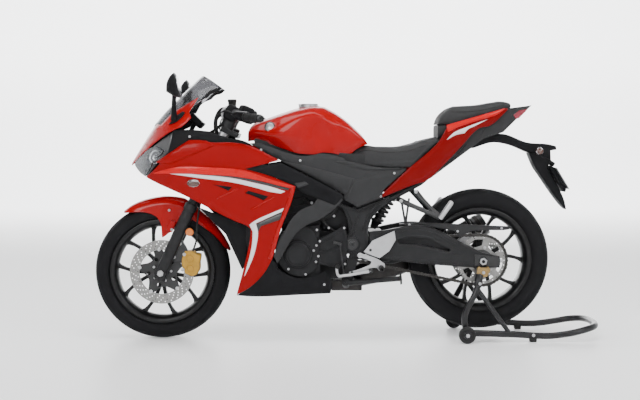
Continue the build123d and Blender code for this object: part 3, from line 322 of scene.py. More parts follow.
# closed outline as cubic spans that keep the corners sharper than the given angle
def smoothOutline(points, step, sharp=32):
    p = np.asarray(points, float)
    n = len(p)
    ahead = np.roll(p, -1, 0) - p
    length = np.linalg.norm(ahead, axis=1)
    direction = ahead / length[:, None]
    back = np.roll(direction, 1, 0)
    turn = np.degrees(np.arccos(np.clip((direction * back).sum(1), -1, 1)))
    corner = turn > sharp
    tangent = direction + back
    tangent /= np.maximum(np.linalg.norm(tangent, axis=1, keepdims=True), 1e-9)
    out = []
    for i in range(n):
        j = (i + 1) % n
        t0 = direction[i] if corner[i] else tangent[i]
        t1 = direction[i] if corner[j] else tangent[j]
        count = max(int(length[i] / step), 1)
        t = np.linspace(0, 1, count, endpoint=False)[:, None]
        span = length[i]
        out.append((1 + 2 * t) * (1 - t) ** 2 * p[i] + t * (1 - t) ** 2 * t0 * span
                   + t * t * (3 - 2 * t) * p[j] + t * t * (t - 1) * t1 * span)
    return np.vstack(out)


# closed outline moved inwards by depth
def insetOutline(points, depth):
    p = np.asarray(points, float)
    edge = np.roll(p, -1, 0) - np.roll(p, 1, 0)
    normal = np.column_stack([-edge[:, 1], edge[:, 0]])
    normal /= np.maximum(np.linalg.norm(normal, axis=1, keepdims=True), 1e-9)
    area = (p[:, 0] * np.roll(p[:, 1], -1) - p[:, 1] * np.roll(p[:, 0], -1)).sum()
    return p + normal * depth * np.sign(area)


# a panel cut from a surface by a side-view outline: triangulated in (x, ring), then lifted along the normal
def panelMesh(surface, outline, step, gap, lift, thick, lip, sharp=32):
    edge = smoothOutline(outline, step, sharp)
    if gap:
        edge = insetOutline(edge, gap)
    x = np.clip(edge[:, 0], surface["x"][0], surface["x"][-1])
    v = ringValue(surface, x, edge[:, 1])
    ringLength = 40.0
    spots = np.column_stack([x, v * ringLength])
    keep = np.linalg.norm(spots - np.roll(spots, 1, 0), axis=1) > 0.4
    spots = spots[keep]
    low, high = spots.min(0), spots.max(0)
    gx, gv = np.meshgrid(np.arange(low[0] + step / 2, high[0], step),
                         np.arange(low[1] + step / 2, high[1], step * 0.8))
    gx = gx + (np.arange(gx.shape[0]) % 2)[:, None] * step / 2
    inner = np.column_stack([gx.ravel(), gv.ravel()])
    a, b = spots, np.roll(spots, -1, 0)
    inside = np.zeros(len(inner), bool)
    near = np.full(len(inner), 1e9)
    for p, q in zip(a, b):
        crosses = ((p[1] > inner[:, 1]) != (q[1] > inner[:, 1]))
        at = (q[0] - p[0]) * (inner[:, 1] - p[1]) / ((q[1] - p[1]) if q[1] != p[1] else 1e-9) + p[0]
        inside ^= crosses & (inner[:, 0] < at)
        d = q - p
        t = np.clip(((inner - p) @ d) / max(d @ d, 1e-9), 0, 1)
        near = np.minimum(near, np.linalg.norm(inner - p - t[:, None] * d, axis=1))
    inner = inner[inside & (near > step * 0.45)]
    every = [Vector(s) for s in np.vstack([spots, inner])]
    ring = list(range(len(spots)))
    verts, _, faces, _, _, _ = delaunay_2d_cdt(every, [], [ring], 1, 1e-4)
    flat = np.array([[s.x, s.y] for s in verts])
    faces = np.array([f for f in faces if len(f) == 3])
    area = np.cross(flat[faces[:, 1]] - flat[faces[:, 0]], flat[faces[:, 2]] - flat[faces[:, 0]])
    faces[area < 0] = faces[area < 0][:, ::-1]
    x, v = flat[:, 0], flat[:, 1] / ringLength
    out = onSurface(surface, x, v)
    normal = surfaceNormal(surface, x, v)
    top = out + normal * lift
    under = out + normal * (lift - thick)
    sides = np.vstack([faces[:, [0, 1]], faces[:, [1, 2]], faces[:, [2, 0]]])
    seen = {(p, q) for p, q in sides.tolist()}
    rim = [(p, q) for p, q in sides.tolist() if (q, p) not in seen]
    n = len(top)
    p, q, r = faces[0]
    if np.cross(out[q] - out[p], out[r] - out[p]) @ normal[p] < 0:
        faces = faces[:, ::-1]
        rim = [(q, p) for p, q in rim]
    points = [top, under]
    allFaces = faces.tolist() + (faces[:, ::-1] + n).tolist()
    if lip:
        rimPoints = sorted({p for pair in rim for p in pair})
        index = {p: 2 * n + k for k, p in enumerate(rimPoints)}
        outward = np.zeros((n, 3))
        for p, q in rim:
            along = out[q] - out[p]
            side = np.cross(along, normal[p])
            outward[p] += side
            outward[q] += side
        outward /= np.maximum(np.linalg.norm(outward, axis=1, keepdims=True), 1e-9)
        points.append((top + outward * lip - normal * lip)[rimPoints])
        for p, q in rim:
            allFaces.append([q, p, index[p], index[q]])
            allFaces.append([index[q], index[p], p + n, q + n])
    else:
        for p, q in rim:
            allFaces.append([q, p, p + n, q + n])
    return np.vstack(points), allFaces


# the same panel on both sides
def panel(name, surface, outline, material, hides=(), step=8, gap=1.0, lift=0.0, thick=3.0,
          lip=0.7, sharp=32):
    points, faces = panelMesh(surface, outline, step, gap, lift, thick, lip, sharp)
    for side, tag in bothSides:
        use = faces if side > 0 else [f[::-1] for f in faces]
        piece(name + tag, points * [1, side, 1], use, material, hides=leftOnly(side, *hides))


# fairing
hullRows = [
    (936, [(0, 764), (8, 762), (14, 757), (18, 750), (20, 742), (18, 736), (14, 732), (10, 728)]),
    (900, [(0, 824), (36, 812), (62, 786), (72, 762), (78, 735), (74, 715), (66, 700), (50, 688)]),
    (860, [(0, 888), (62, 868), (104, 826), (122, 780), (132, 735), (130, 710), (120, 690), (100, 668)]),
    (800, [(0, 974), (86, 950), (148, 880), (168, 830), (182, 772), (178, 738), (168, 690), (150, 640)]),
    (740, [(0, 1034), (98, 1010), (166, 930), (188, 880), (204, 800), (203, 750), (192, 680), (170, 600)]),
    (640, [(0, 1104), (102, 1070), (170, 1000), (196, 905), (212, 825), (216, 756), (204, 650), (180, 540)]),
    (540, [(0, 1100), (102, 1060), (168, 990), (192, 890), (211, 835), (218, 752), (198, 560), (172, 190)]),
    (440, [(0, 1060), (100, 1030), (160, 960), (186, 880), (206, 820), (217, 740), (194, 500), (164, 190)]),
    (330, [(0, 1000), (90, 980), (150, 920), (178, 850), (202, 790), (214, 712), (190, 450), (158, 190)]),
    (220, [(0, 950), (80, 930), (140, 880), (172, 820), (196, 740), (208, 676), (186, 420), (154, 195)]),
    (10, [(0, 900), (70, 880), (120, 840), (150, 760), (168, 700), (182, 630), (172, 420), (148, 205)]),
]
hull = skinSurface(hullRows, [0, 0, 0, 0.5, 0.85, 0.85, 0, 0])
outlines = {
    "sideCowl": [(863, 705), (830, 730), (764, 796), (720, 831), (672, 862), (625, 862), (581, 853),
                 (489, 852), (423, 840), (293, 777), (438, 741), (351, 717), (228, 669), (245, 604),
                 (286, 499), (327, 358), (363, 295), (418, 240), (478, 205), (448, 316), (419, 448),
                 (416, 489), (435, 503), (480, 521), (687, 626), (842, 694)],
    "collar": [(740, 904), (764, 796), (720, 831), (672, 862), (625, 862), (581, 853), (489, 852), (423, 840),
               (436, 850), (519, 876), (607, 901), (664, 906)],
    "upper": [(438, 741), (289, 768), (158, 703), (33, 637), (23, 616), (62, 587), (134, 616), (207, 649),
              (228, 669), (351, 717)],
    "rim": [(33, 617), (27, 609), (63, 571), (127, 526), (163, 512), (213, 480), (245, 439), (282, 376),
            (304, 339), (320, 372), (296, 440), (262, 500), (245, 529), (207, 567), (149, 596), (134, 616),
            (62, 587)],
    "belly": [(327, 358), (304, 339), (305, 319), (236, 282), (172, 277), (99, 307), (80, 282), (71, 236),
              (79, 209), (203, 204), (408, 198), (478, 204), (418, 240), (363, 295)],
    "nose": [(960, 740), (935, 757), (897, 790), (820, 852), (740, 904), (703, 919), (664, 955), (674, 978),
             (655, 1010), (638, 1042), (682, 1015), (736, 983), (766, 959), (800, 925), (836, 935),
             (960, 1060)],
}
# the side cowl takes the darker copy of the red paint, painted shade on the flank
panel("sideCowl", hull, outlines["sideCowl"], flankShadeRed, hides=("side_cowl_left", "side_cowl_right"))
panel("upperPanel", hull, outlines["upper"], deepPlastic)
panel("openingPanel", hull, outlines["rim"], darkPlastic, hides=("black_panel_left", "black_panel_right"))
panel("nose", hull, outlines["nose"], redPaint, hides=("nose_cowl",), gap=0, step=6, sharp=24)
panel("noseInner", hull, outlines["nose"], deepPlastic, lift=-3.4, thick=1.2, gap=1.5, lip=0, sharp=24)
panel("collar", hull, outlines["collar"], deepPlastic, lift=-2.5, hides=("inner_fairing",))
panel("bellySide", hull, outlines["belly"], deepPlastic)
panRow, panEdge = [(470, 199.5), (380, 199), (200, 205), (85, 211)], np.linspace(-148, 148, 25)
panTop = np.array([[(x, y, z + 6 * (abs(y) / 150) ** 4) for y in panEdge] for x, z in panRow])
panPoints = np.vstack([panTop.reshape(-1, 3), (panTop - [0, 0, 2.5]).reshape(-1, 3)])
panFaces = gridFaces(4, 25)
piece("bellyFloor", panPoints, np.vstack([panFaces[:, ::-1], panFaces + 100]), darkPlastic,
      hides=("belly_pan",))

# name, outline, material, lift
decals = [
    # band: a raised strip along the side cowl's ridge in the lighter copy of the red paint, a painted
    # highlight
    ("band", [(827, 722), (721, 748), (577, 746), (443, 734), (337, 698), (232, 667), (251, 662), (289, 671),
              (385, 695), (481, 711), (577, 718), (673, 722.5)], highlightRed, 3.0),
    ("stripe", [(762, 722), (673, 721), (625, 717), (553, 711), (481, 701.5), (385, 680), (337, 669),
                (270, 647), (289, 638), (337, 646), (385, 660), (481, 683), (553, 694), (625, 702.5),
                (697, 713)], whiteDecal, 0.45),
    ("stripeShade", [(673, 722.5), (577, 718), (481, 711), (385, 695), (289, 671), (251, 662), (258, 651),
            (289, 658), (385, 682), (481, 703), (577, 713.5)], blackDecal, 0.6),
    ("fork", [(276, 577), (283, 562), (355, 530), (394, 512), (385, 476), (392, 420), (399, 389), (420, 333),
              (444, 284), (438, 310), (424, 360), (411, 420), (407, 476), (421, 506), (400, 522), (330, 555)],
     whiteDecal, 0.45),
    ("forkShade", [(283, 562), (355, 528), (393, 510), (384, 476), (372, 500), (300, 524), (288, 528)],
     blackDecal, 0.45),
    # facet: the raised upper band of the side cowl, in the same darker flank red, painted shade
    ("facet", [(812, 768), (673, 858), (600, 858), (567, 839), (750, 765)], flankShadeRed, 2.4),
    ("ridgeFront", [(558, 614), (467, 657.5), (465, 661), (556, 618)], redPaint, 2.0),
    ("ridgeRear", [(414, 568.5), (313, 624), (311, 628), (412, 572.5)], redPaint, 2.0),
    ("border", [(228, 668), (245, 604), (286, 499), (327, 360), (341, 364), (300, 503), (259, 609),
                (243, 664)], redPaint, 1.8),
    ("slotFront", [(575, 676), (493, 666), (508, 650), (543, 666)], deepPlastic, 0.5),
    ("slotRear", [(438, 640), (424, 650), (342, 626), (361, 609), (409, 630)], deepPlastic, 0.5),
    ("signalSeat", [(627, 682), (635, 670), (654, 665), (673, 670), (681, 682), (673, 694), (654, 699),
                    (635, 694)], silverAlloy, 0.8),
    ("wedgeTab", [(230, 680), (188, 686), (173, 677), (216, 662)], darkPlastic, 2.0),
]
for name, outline, material, lift in decals:
    panel(name, hull, outline, material, lift=lift, thick=lift + 0.1, gap=0,
          lip=min(lift, 1.6) if lift > 1 else 0, sharp=24)

# headlights: housing, reflector bowls, projectors and lens
lens = [(924, 763), (903, 788), (870, 812), (848, 828), (812, 837), (775, 820), (786, 803), (812, 782),
        (827, 764), (836, 748), (846, 730), (866, 706), (892, 724)]
panel("lampHousing", hull, [(934, 752), (897, 788), (820, 850), (740, 902), (700, 880), (764, 796),
        (800, 763), (830, 730), (866, 700), (905, 716)], deepPlastic, lift=-24, gap=1.5)
panel("lampShell", hull, [(930, 756), (903, 786), (870, 812), (848, 828), (822, 848), (742, 900), (764, 812),
        (786, 790), (812, 772), (836, 738), (862, 706), (896, 718)], lampGrey, lift=-7, thick=14, gap=1.5)
panel("lampLens", hull, lens, clearLens, lift=-1.2, thick=2.0, gap=1.0, hides=("headlights",))


# a closed (radius, along) profile turned about an axis through place
def turned(name, profile, place, axis, material, body="chassis", around=48, hides=(), angle=30):
    z = Vector(axis).normalized()
    x = z.orthogonal().normalized()
    y = z.cross(x)
    turn = np.linspace(0, 2 * pi, around, endpoint=False)
    profile = np.asarray(profile, float)
    radial = np.cos(turn)[:, None] * np.array(x) + np.sin(turn)[:, None] * np.array(y)
    points = (np.array(place) + profile[:, None, 1:2] * np.array(z) + profile[:, None, 0:1] * radial[None])
    obj = piece(name, points.reshape(-1, 3), gridFaces(len(profile), around, True, True), material, body=body,
                hides=hides)
    sharpen(obj, angle)
    return obj


for side, tag in bothSides:
    aim = Vector((0.62, side * 0.76, 0.18))
    turned("lampBowl" + tag, [(0.1, -10), (14, -8), (22, -3), (26, 3), (29, 4), (29, -2), (24, -10),
            (0.1, -16)], (819, side * 149, 789), aim, chromeCup)
    turned("lampSmall" + tag, [(0.1, -6), (9, -4), (13, 0), (16, 3), (18, 3), (18, -1), (12, -6), (0.1, -10)],
           (781, side * 163, 815), aim, chromeCup)
    turned("lampProjector" + tag, [(0.1, -12), (13, -10), (15, -2), (13, 3), (9, 6), (4, 8), (0.1, 8.5)],
           (819, side * 149, 789), aim, clearLens)

# windscreen
screenRows = [
    (836, [(0, 930), (30, 926), (58, 912), (64, 890)]),
    (785, [(0, 990), (45, 982), (82, 956), (97, 918)]),
    (721, [(0, 1054), (55, 1043), (94, 1012), (110, 960)]),
    (674, [(0, 1101), (60, 1088), (100, 1054), (114, 990)]),
    (629, [(0, 1141), (62, 1128), (102, 1096), (116, 1030)]),
    (536, [(0, 1190), (62, 1172), (104, 1130), (118, 1060)]),
]
screenSkin = skinSurface(screenRows, [0, 0, 0, 0])
panel("screen", screenSkin, [(835, 938), (835, 925), (800, 925), (741, 950), (690, 985), (636, 1004),
        (600, 1040), (582, 1059), (556, 1067), (538, 1082), (587, 1117), (629, 1143), (674, 1110),
        (721, 1064), (785, 1000)], screenTint, gap=0, lip=0.6, hides=("windscreen",), step=7)

panel("screenTrim", screenSkin, [(538, 1082), (556, 1067), (582, 1059), (600, 1040), (636, 1004), (664, 968),
        (672, 978), (645, 1014), (610, 1050), (590, 1070), (562, 1080), (546, 1088)], deepPlastic, gap=0,
      lip=0.8, lift=1.6, thick=4.4)

# side covers and tail
coverRows = [
    (440, [(150, 880), (158, 800), (150, 560)]),
    (250, [(146, 870), (158, 740), (154, 560)]),
    (60, [(134, 870), (148, 700), (142, 560)]),
    (-100, [(130, 860), (136, 690), (134, 560)]),
    (-260, [(132, 860), (134, 690), (134, 560)]),
]
cover = skinSurface(coverRows, [0, 0.4, 0])
panel("sideCover", cover, [(423, 848), (382, 850), (353, 840), (231, 800), (187, 795), (114, 805), (21, 786),
        (6, 768), (-122, 742), (-247, 738), (-146, 647), (-140, 615), (-37, 576), (20, 609), (20, 634),
        (160, 709), (284, 772)], darkPlastic, hides=("side_cover_left", "side_cover_right"))
# raised fields on the side cover
coverCreases = [
    ("coverField", [(205, 756), (-22, 697), (5, 638), (22, 634), (160, 709), (284, 772)], 1.8),
    ("coverRear", [(5, 634), (-22, 690), (-168, 732), (-243, 737), (-146, 648), (-140, 617), (-38, 578),
                   (18, 609)], 1.2),
    ("coverShelf", [(59, 770), (-68, 734), (-248, 741), (-122, 746), (6, 770)], 1.8),
]
for name, outline, lift in coverCreases:
    panel(name, cover, outline, darkPlastic, lift=lift, thick=lift + 0.3, gap=0, lip=1.2, sharp=12)
tailRows = [
    (-140, [(132, 660), (134, 640), (130, 600)]),
    (-250, [(130, 780), (134, 700), (122, 600)]),
    (-380, [(112, 960), (122, 830), (104, 640)]),
    (-430, [(108, 960), (116, 880), (92, 700)]),
    (-560, [(96, 1010), (104, 940), (74, 800)]),
    (-700, [(70, 1020), (76, 990), (52, 890)]),
]
tailSkin = skinSurface(tailRows, [0, 0.6, 0])
# the tail in the darker copy of the red paint, painted shade; its top strip is the lighter tailBand below
panel("tail", tailSkin, [(-143, 633), (-252, 738), (-380, 850), (-424, 922), (-536, 956), (-685, 1000),
        (-690, 993), (-611, 923), (-561, 911), (-493, 842), (-403, 748), (-329, 686), (-288, 674),
        (-143, 617)], tailShadeRed, hides=("tail_cowl",))
# tailBand: the top strip of the tail in the lighter copy of the red paint, a painted highlight
panel("tailBand", tailSkin, [(-420, 925), (-536, 958), (-676, 998), (-640, 972), (-560, 948), (-470, 918),
        (-425, 896)], highlightRed, lift=1.6, thick=1.8, gap=0, lip=1.2)
panel("tailStripe", tailSkin, [(-419, 862), (-450, 893), (-508, 918), (-599, 951), (-540, 921), (-511, 907),
        (-498, 891), (-462, 884)], whiteDecal, lift=0.5, thick=0.5, gap=0, lip=0)
print("bodywork")


# tank and seats
# symmetric closed body through rows of (x, ring from the ridge to the lower edge)
def closedSkin(name, rows, crease, material, hides=(), columns=90, perSpan=14, rounds=30):
    skin = skinSurface(rows, crease, columns, perSpan, rounds)
    half = skin["grid"]
    x = np.repeat(skin["x"][:, None], half.shape[1], 1)
    left = np.dstack([x, half])
    right = left[:, ::-1] * [1, -1, 1]
    floor = [left[:, -1] * [1, s, 1] for s in np.linspace(1, -1, 9)[1:-1]]
    ring = np.concatenate([left, np.stack(floor, 1), right[:, :-1]], 1)
    n, m = ring.shape[:2]
    faces = gridFaces(n, m, False, True)[:, ::-1].tolist()
    points = np.vstack([ring.reshape(-1, 3), ring[0].mean(0), ring[-1].mean(0)])
    for k in range(m):
        faces.append([k, n * m, (k + 1) % m][::-1])
        faces.append([(n - 1) * m + k, n * m + 1, (n - 1) * m + (k + 1) % m])
    obj = piece(name, points, faces, material, hides=hides)
    sharpen(obj, 50)
    return obj


tankRows = [
    (431, [(0, 900), (34, 899), (52, 890), (58, 874), (54, 856)]),
    (424, [(0, 914), (44, 911), (68, 898), (74, 878), (66, 857)]),
    (400, [(0, 936), (60, 929), (90, 904), (94, 882), (82, 859)]),
    (340, [(0, 959), (80, 948), (122, 900), (126, 876), (106, 846)]),
    (275, [(0, 982), (92, 972), (136, 930), (148, 880), (122, 824)]),
    (205, [(0, 1003), (98, 993), (144, 962), (150, 880), (134, 804)]),
    (150, [(0, 1011), (98, 1003), (146, 974), (140, 880), (134, 801)]),
    (110, [(0, 1008), (92, 1002), (142, 960), (128, 870), (128, 809)]),
    (70, [(0, 990), (84, 985), (128, 938), (120, 870), (116, 806)]),
    (10, [(0, 951), (74, 946), (112, 922), (114, 862), (100, 794)]),
    (-40, [(0, 905), (72, 902), (102, 886), (104, 858), (92, 826)]),
    (-72, [(0, 869), (68, 867), (90, 862), (90, 850), (82, 840)]),
    (-83, [(0, 850), (60, 849), (76, 848), (78, 846), (76, 843)]),
]
closedSkin("tank", tankRows, [0, 0.2, 0.8, 0.2, 0], redPaint, hides=("fuel_tank",), columns=150)
badge = Vector((0.17, 0.93, 0.32)).normalized()
for side, tag in bothSides:
    turned("tankBadge" + tag, [(0.1, -6), (21, -6), (23, 0), (22.5, 2), (20, 3), (18.4, 2.2), (18.2, 0),
            (0.1, 0)], (336, side * 112, 918), (badge.x, side * badge.y, badge.z), blackDecal)
    turned("tankDisc" + tag, [(0.1, -4), (18, -4), (18, 1.2), (16.5, 2), (0.1, 2.3)], (336, side * 112, 918),
           (badge.x, side * badge.y, badge.z), silverAlloy)

riderRows = [
    (12, [(0, 796), (60, 796), (84, 790), (90, 780), (88, 768)]),
    (-40, [(0, 824), (66, 824), (88, 813), (100, 786), (100, 758)]),
    (-80, [(0, 836), (76, 834), (106, 822), (114, 786), (112, 751)]),
    (-125, [(0, 830), (92, 830), (124, 816), (128, 782), (122, 747)]),
    (-200, [(0, 829), (106, 829), (134, 814), (138, 780), (128, 744)]),
    (-262, [(0, 840), (114, 838), (140, 822), (140, 784), (126, 746)]),
    (-326, [(0, 860), (106, 858), (130, 842), (126, 812), (108, 796)]),
    (-386, [(0, 874), (84, 872), (102, 864), (102, 856), (90, 850)]),
]


# air pressure in a pad: its underside stays put and no point moves further than cap metres
def swell(obj, voxel, cap, frames=20):
    scene = bpy.context.scene
    remesh = obj.modifiers.new("remesh", "REMESH")
    remesh.mode = "VOXEL"
    remesh.voxel_size = voxel
    depsgraph = bpy.context.evaluated_depsgraph_get()
    fine = bpy.data.meshes.new_from_object(obj.evaluated_get(depsgraph))
    obj.modifiers.remove(remesh)
    pad = bpy.data.objects.new(obj.name + "Soft", fine)
    scene.collection.objects.link(pad)
    n = len(fine.vertices)
    before = np.empty(n * 3)
    fine.vertices.foreach_get("co", before)
    before = before.reshape(-1, 3)
    normals = np.empty(n * 3)
    fine.vertices.foreach_get("normal", normals)
    held = pad.vertex_groups.new(name="held")
    held.add(np.where(normals.reshape(-1, 3)[:, 2] < -0.3)[0].tolist(), 1.0, "REPLACE")
    cloth = pad.modifiers.new("cloth", "CLOTH")
    cloth.settings.use_pressure = True
    cloth.settings.uniform_pressure_force = 4.0
    cloth.settings.vertex_group_mass = "held"
    cloth.settings.effector_weights.gravity = 0
    cloth.settings.quality = 4
    cloth.collision_settings.use_collision = False
    for f in range(1, frames + 1):
        scene.frame_set(f)
    after = np.empty(n * 3)
    done = pad.evaluated_get(bpy.context.evaluated_depsgraph_get()).to_mesh()
    done.vertices.foreach_get("co", after)
    pad.evaluated_get(bpy.context.evaluated_depsgraph_get()).to_mesh_clear()
    move = after.reshape(-1, 3) - before
    far = np.linalg.norm(move, axis=1, keepdims=True)
    limit = np.minimum(1.0, cap / np.maximum(far, 1e-9))
    result = fine.copy()
    result.vertices.foreach_set("co", (before + move * limit).ravel())
    result.polygons.foreach_set("use_smooth", np.full(len(result.polygons), True))
    bpy.data.objects.remove(pad)
    scene.frame_set(1)
    result.materials.clear()
    result.materials.append(obj.data.materials[0])
    obj.data = result
    obj.modifiers.new("smooth", "SUBSURF").levels = 1
    print("swelled", obj.name, n, "points, furthest", round(float(far.max()) * 1000, 1), "mm")


# a sewn seam laid on the pad's surface
def seam(name, obj, path, radius=1.5):
    line = []
    for point in path:
        hit, spot, normal, _ = obj.closest_point_on_mesh(Vector(point) * mm)
        line.append(np.array(spot) / mm + np.array(normal) * 0.4)
    bar(name, line, radius, blackRubber, samples=4, around=8)


riderSeat = closedSkin("riderSeat", riderRows, [0, 0.1, 0.3, 0, 0], seatVinyl, hides=("rider_seat",))
swell(riderSeat, 0.006, 0.004)
pillionRows = [
    (-384, [(0, 932), (60, 931), (70, 928), (74, 925)]),
    (-390, [(0, 950), (64, 948), (80, 938), (80, 927)]),
    (-404, [(0, 976), (68, 974), (88, 956), (86, 931)]),
    (-440, [(0, 1004), (72, 1001), (94, 985), (90, 928)]),
    (-480, [(0, 1006), (74, 1004), (96, 986), (91, 934)]),
    (-550, [(0, 1010), (76, 1008), (98, 990), (88, 948)]),
    (-626, [(0, 1022), (70, 1019), (92, 1004), (78, 968)]),
    (-680, [(0, 1029), (58, 1026), (78, 1014), (66, 988)]),
    (-706, [(0, 1023), (48, 1021), (62, 1014), (60, 1004)]),
]
pillionSeat = closedSkin("pillionSeat", pillionRows, [0, 0.2, 0.3, 0], seatVinyl, hides=("pillion_seat",))
swell(pillionSeat, 0.006, 0.004)
humpRows = [(-418, [(0, 935), (70, 934), (84, 926), (84, 897), (74, 893)]),
            (-386, [(0, 926), (66, 925), (80, 919), (80, 872), (70, 864)])]
hump = closedSkin("humpPad", humpRows, [0, 0, 0.3, 0.3, 0], seatVinyl, columns=12)
print("tank and seats")

# wheels and tyres
wheelSizes = {
    "front": {"axle": (804.0, 0.0, 293.0), "radius": 293.0, "width": 110.0, "rimHalf": 43.0,
              "hubRadius": 34.0, "hubHalf": 46.0, "firstSpokes": 121.0},
    "rear": {"axle": (-576.0, 0.0, 343.0), "radius": 307.0, "width": 138.0, "rimHalf": 58.0,
             "hubRadius": 44.0, "hubHalf": 62.0, "firstSpokes": 17.0},
}
beadRadius, grooveDepth = 216.3, 3.2
frontAxle, rearAxle = wheelSizes["front"]["axle"], wheelSizes["rear"]["axle"]


def tyrePiece(wheel):
    size = wheelSizes[wheel]
    axle, half, bead, rimHalf = size["axle"], size["width"] / 2, beadRadius, size["rimHalf"]
    depth = size["radius"] - bead
    crown = [(1 - 0.135 * (s / 0.76) ** 2, s) for s in np.linspace(0, 0.76, 24)]
    outside = [(bead + depth * a, half * s) for a, s in crown]
    wall = [(0.84, 0.80), (0.80, 0.86), (0.74, 0.915), (0.66, 0.965), (0.57, 0.99), (0.48, 1.0),
            (0.38, 0.985), (0.30, 0.95), (0.22, 0.90)]
    outside += [(bead + depth * a, half * s) for a, s in wall]
    outside += [(bead + 12.0, rimHalf - 5.0), (bead + 11.0, rimHalf - 6.6), (bead + 0.4, rimHalf - 6.6),
                (bead + 0.4, rimHalf - 15)]
    inside = [(0.26, 0.62), (0.50, 0.80), (0.74, 0.66), (0.84, 0.40), (0.87, 0.0)]
    outside += [(bead + depth * a, half * s) for a, s in inside]
    profile = np.array(outside)
    profile = np.vstack([profile, (profile * [1, -1])[::-1][1:-1]])
    around = 900
    turn = np.linspace(0, 2 * pi, around, endpoint=False)
    # tread: curved grooves leave the crown on each side and fade at the shoulder
    s = profile[:, 1] / half
    onCrown = (np.abs(s) < 0.84) & (profile[:, 0] > bead + depth * 0.78)
    r = np.repeat(profile[:, 0][:, None], around, 1)
    grooves = ((0.06, 0.80, 0.16, 0.95, 0.0), (0.34, 0.62, 0.12, 0.6, 0.42))
    for sign, shift in ((1, 0.0), (-1, 0.5)):
        across = s * sign
        for start, end, width0, lean, offset in grooves:
            reach = np.clip((across - start) / (end - start), 0, 1)
            centre = (lean * reach ** 1.5 + shift + offset)[:, None]
            phase = (turn[None] / (2 * pi) * 22 + centre) % 1.0
            away = np.minimum(phase, 1 - phase)
            mask = np.clip((width0 * 0.5 - away) / 0.035, 0, 1)
            live = onCrown & (across > start) & (across < end)
            fade = np.clip(np.minimum(across - start, end - across) / 0.05, 0, 1)
            r = r - (mask * (live * fade)[:, None]) * grooveDepth
    points = np.stack([axle[0] + r * np.cos(turn), np.repeat(profile[:, 1][:, None], around, 1),
                       axle[2] + r * np.sin(turn)], 2)
    faces = gridFaces(len(profile), around, True, True)[:, ::-1]
    obj = piece(wheel + "Tread", points.reshape(-1, 3), faces, tyreRubber, body=wheel + "_wheel",
                hides=(wheel + "_tyre",))
    sharpen(obj, 28)


tyrePiece("front")
tyrePiece("rear")
print("tyres")


# shared makers: plates with holes, bars, bolts
# a plate in the side plane at y, with holes and rounded edges, half thick each way
def plate(name, outline, y, material, body="chassis", holes=(), half=2.0, round=0.8, hides=(),
          smoothStep=0):
    curve = bpy.data.curves.new(name, "CURVE")
    curve.dimensions = "2D"
    curve.fill_mode = "BOTH"
    curve.extrude = max(half - round, 0.01)
    curve.bevel_depth = round
    curve.bevel_resolution = 2
    curve.offset = -round
    for loop in [outline, *holes]:
        loop = np.asarray(loop, float)
        if smoothStep and len(loop) < 40:   # drilled holes are round already
            loop = smoothOutline(loop, smoothStep)
        spline = curve.splines.new("POLY")
        spline.points.add(len(loop) - 1)
        flat = np.column_stack([loop, np.zeros(len(loop)), np.ones(len(loop))])
        spline.points.foreach_set("co", flat.ravel())
        spline.use_cyclic_u = True
    holder = bpy.data.objects.new(name, curve)
    mesh = bpy.data.meshes.new_from_object(holder)
    bpy.data.objects.remove(holder)
    points = np.empty(len(mesh.vertices) * 3)
    mesh.vertices.foreach_get("co", points)
    points = points.reshape(-1, 3)
    faces = [list(p.vertices)[::-1] for p in mesh.polygons]
    bpy.data.meshes.remove(mesh)
    upright = np.column_stack([points[:, 0], y + points[:, 2], points[:, 1]])
    obj = piece(name, upright, faces, material, body=body, hides=hides)
    sharpen(obj, 30)
    return obj


def circle(x, z, r, count=32):
    a = np.linspace(0, 2 * pi, count, endpoint=False)
    return np.column_stack([x + r * np.cos(a), z + r * np.sin(a)])


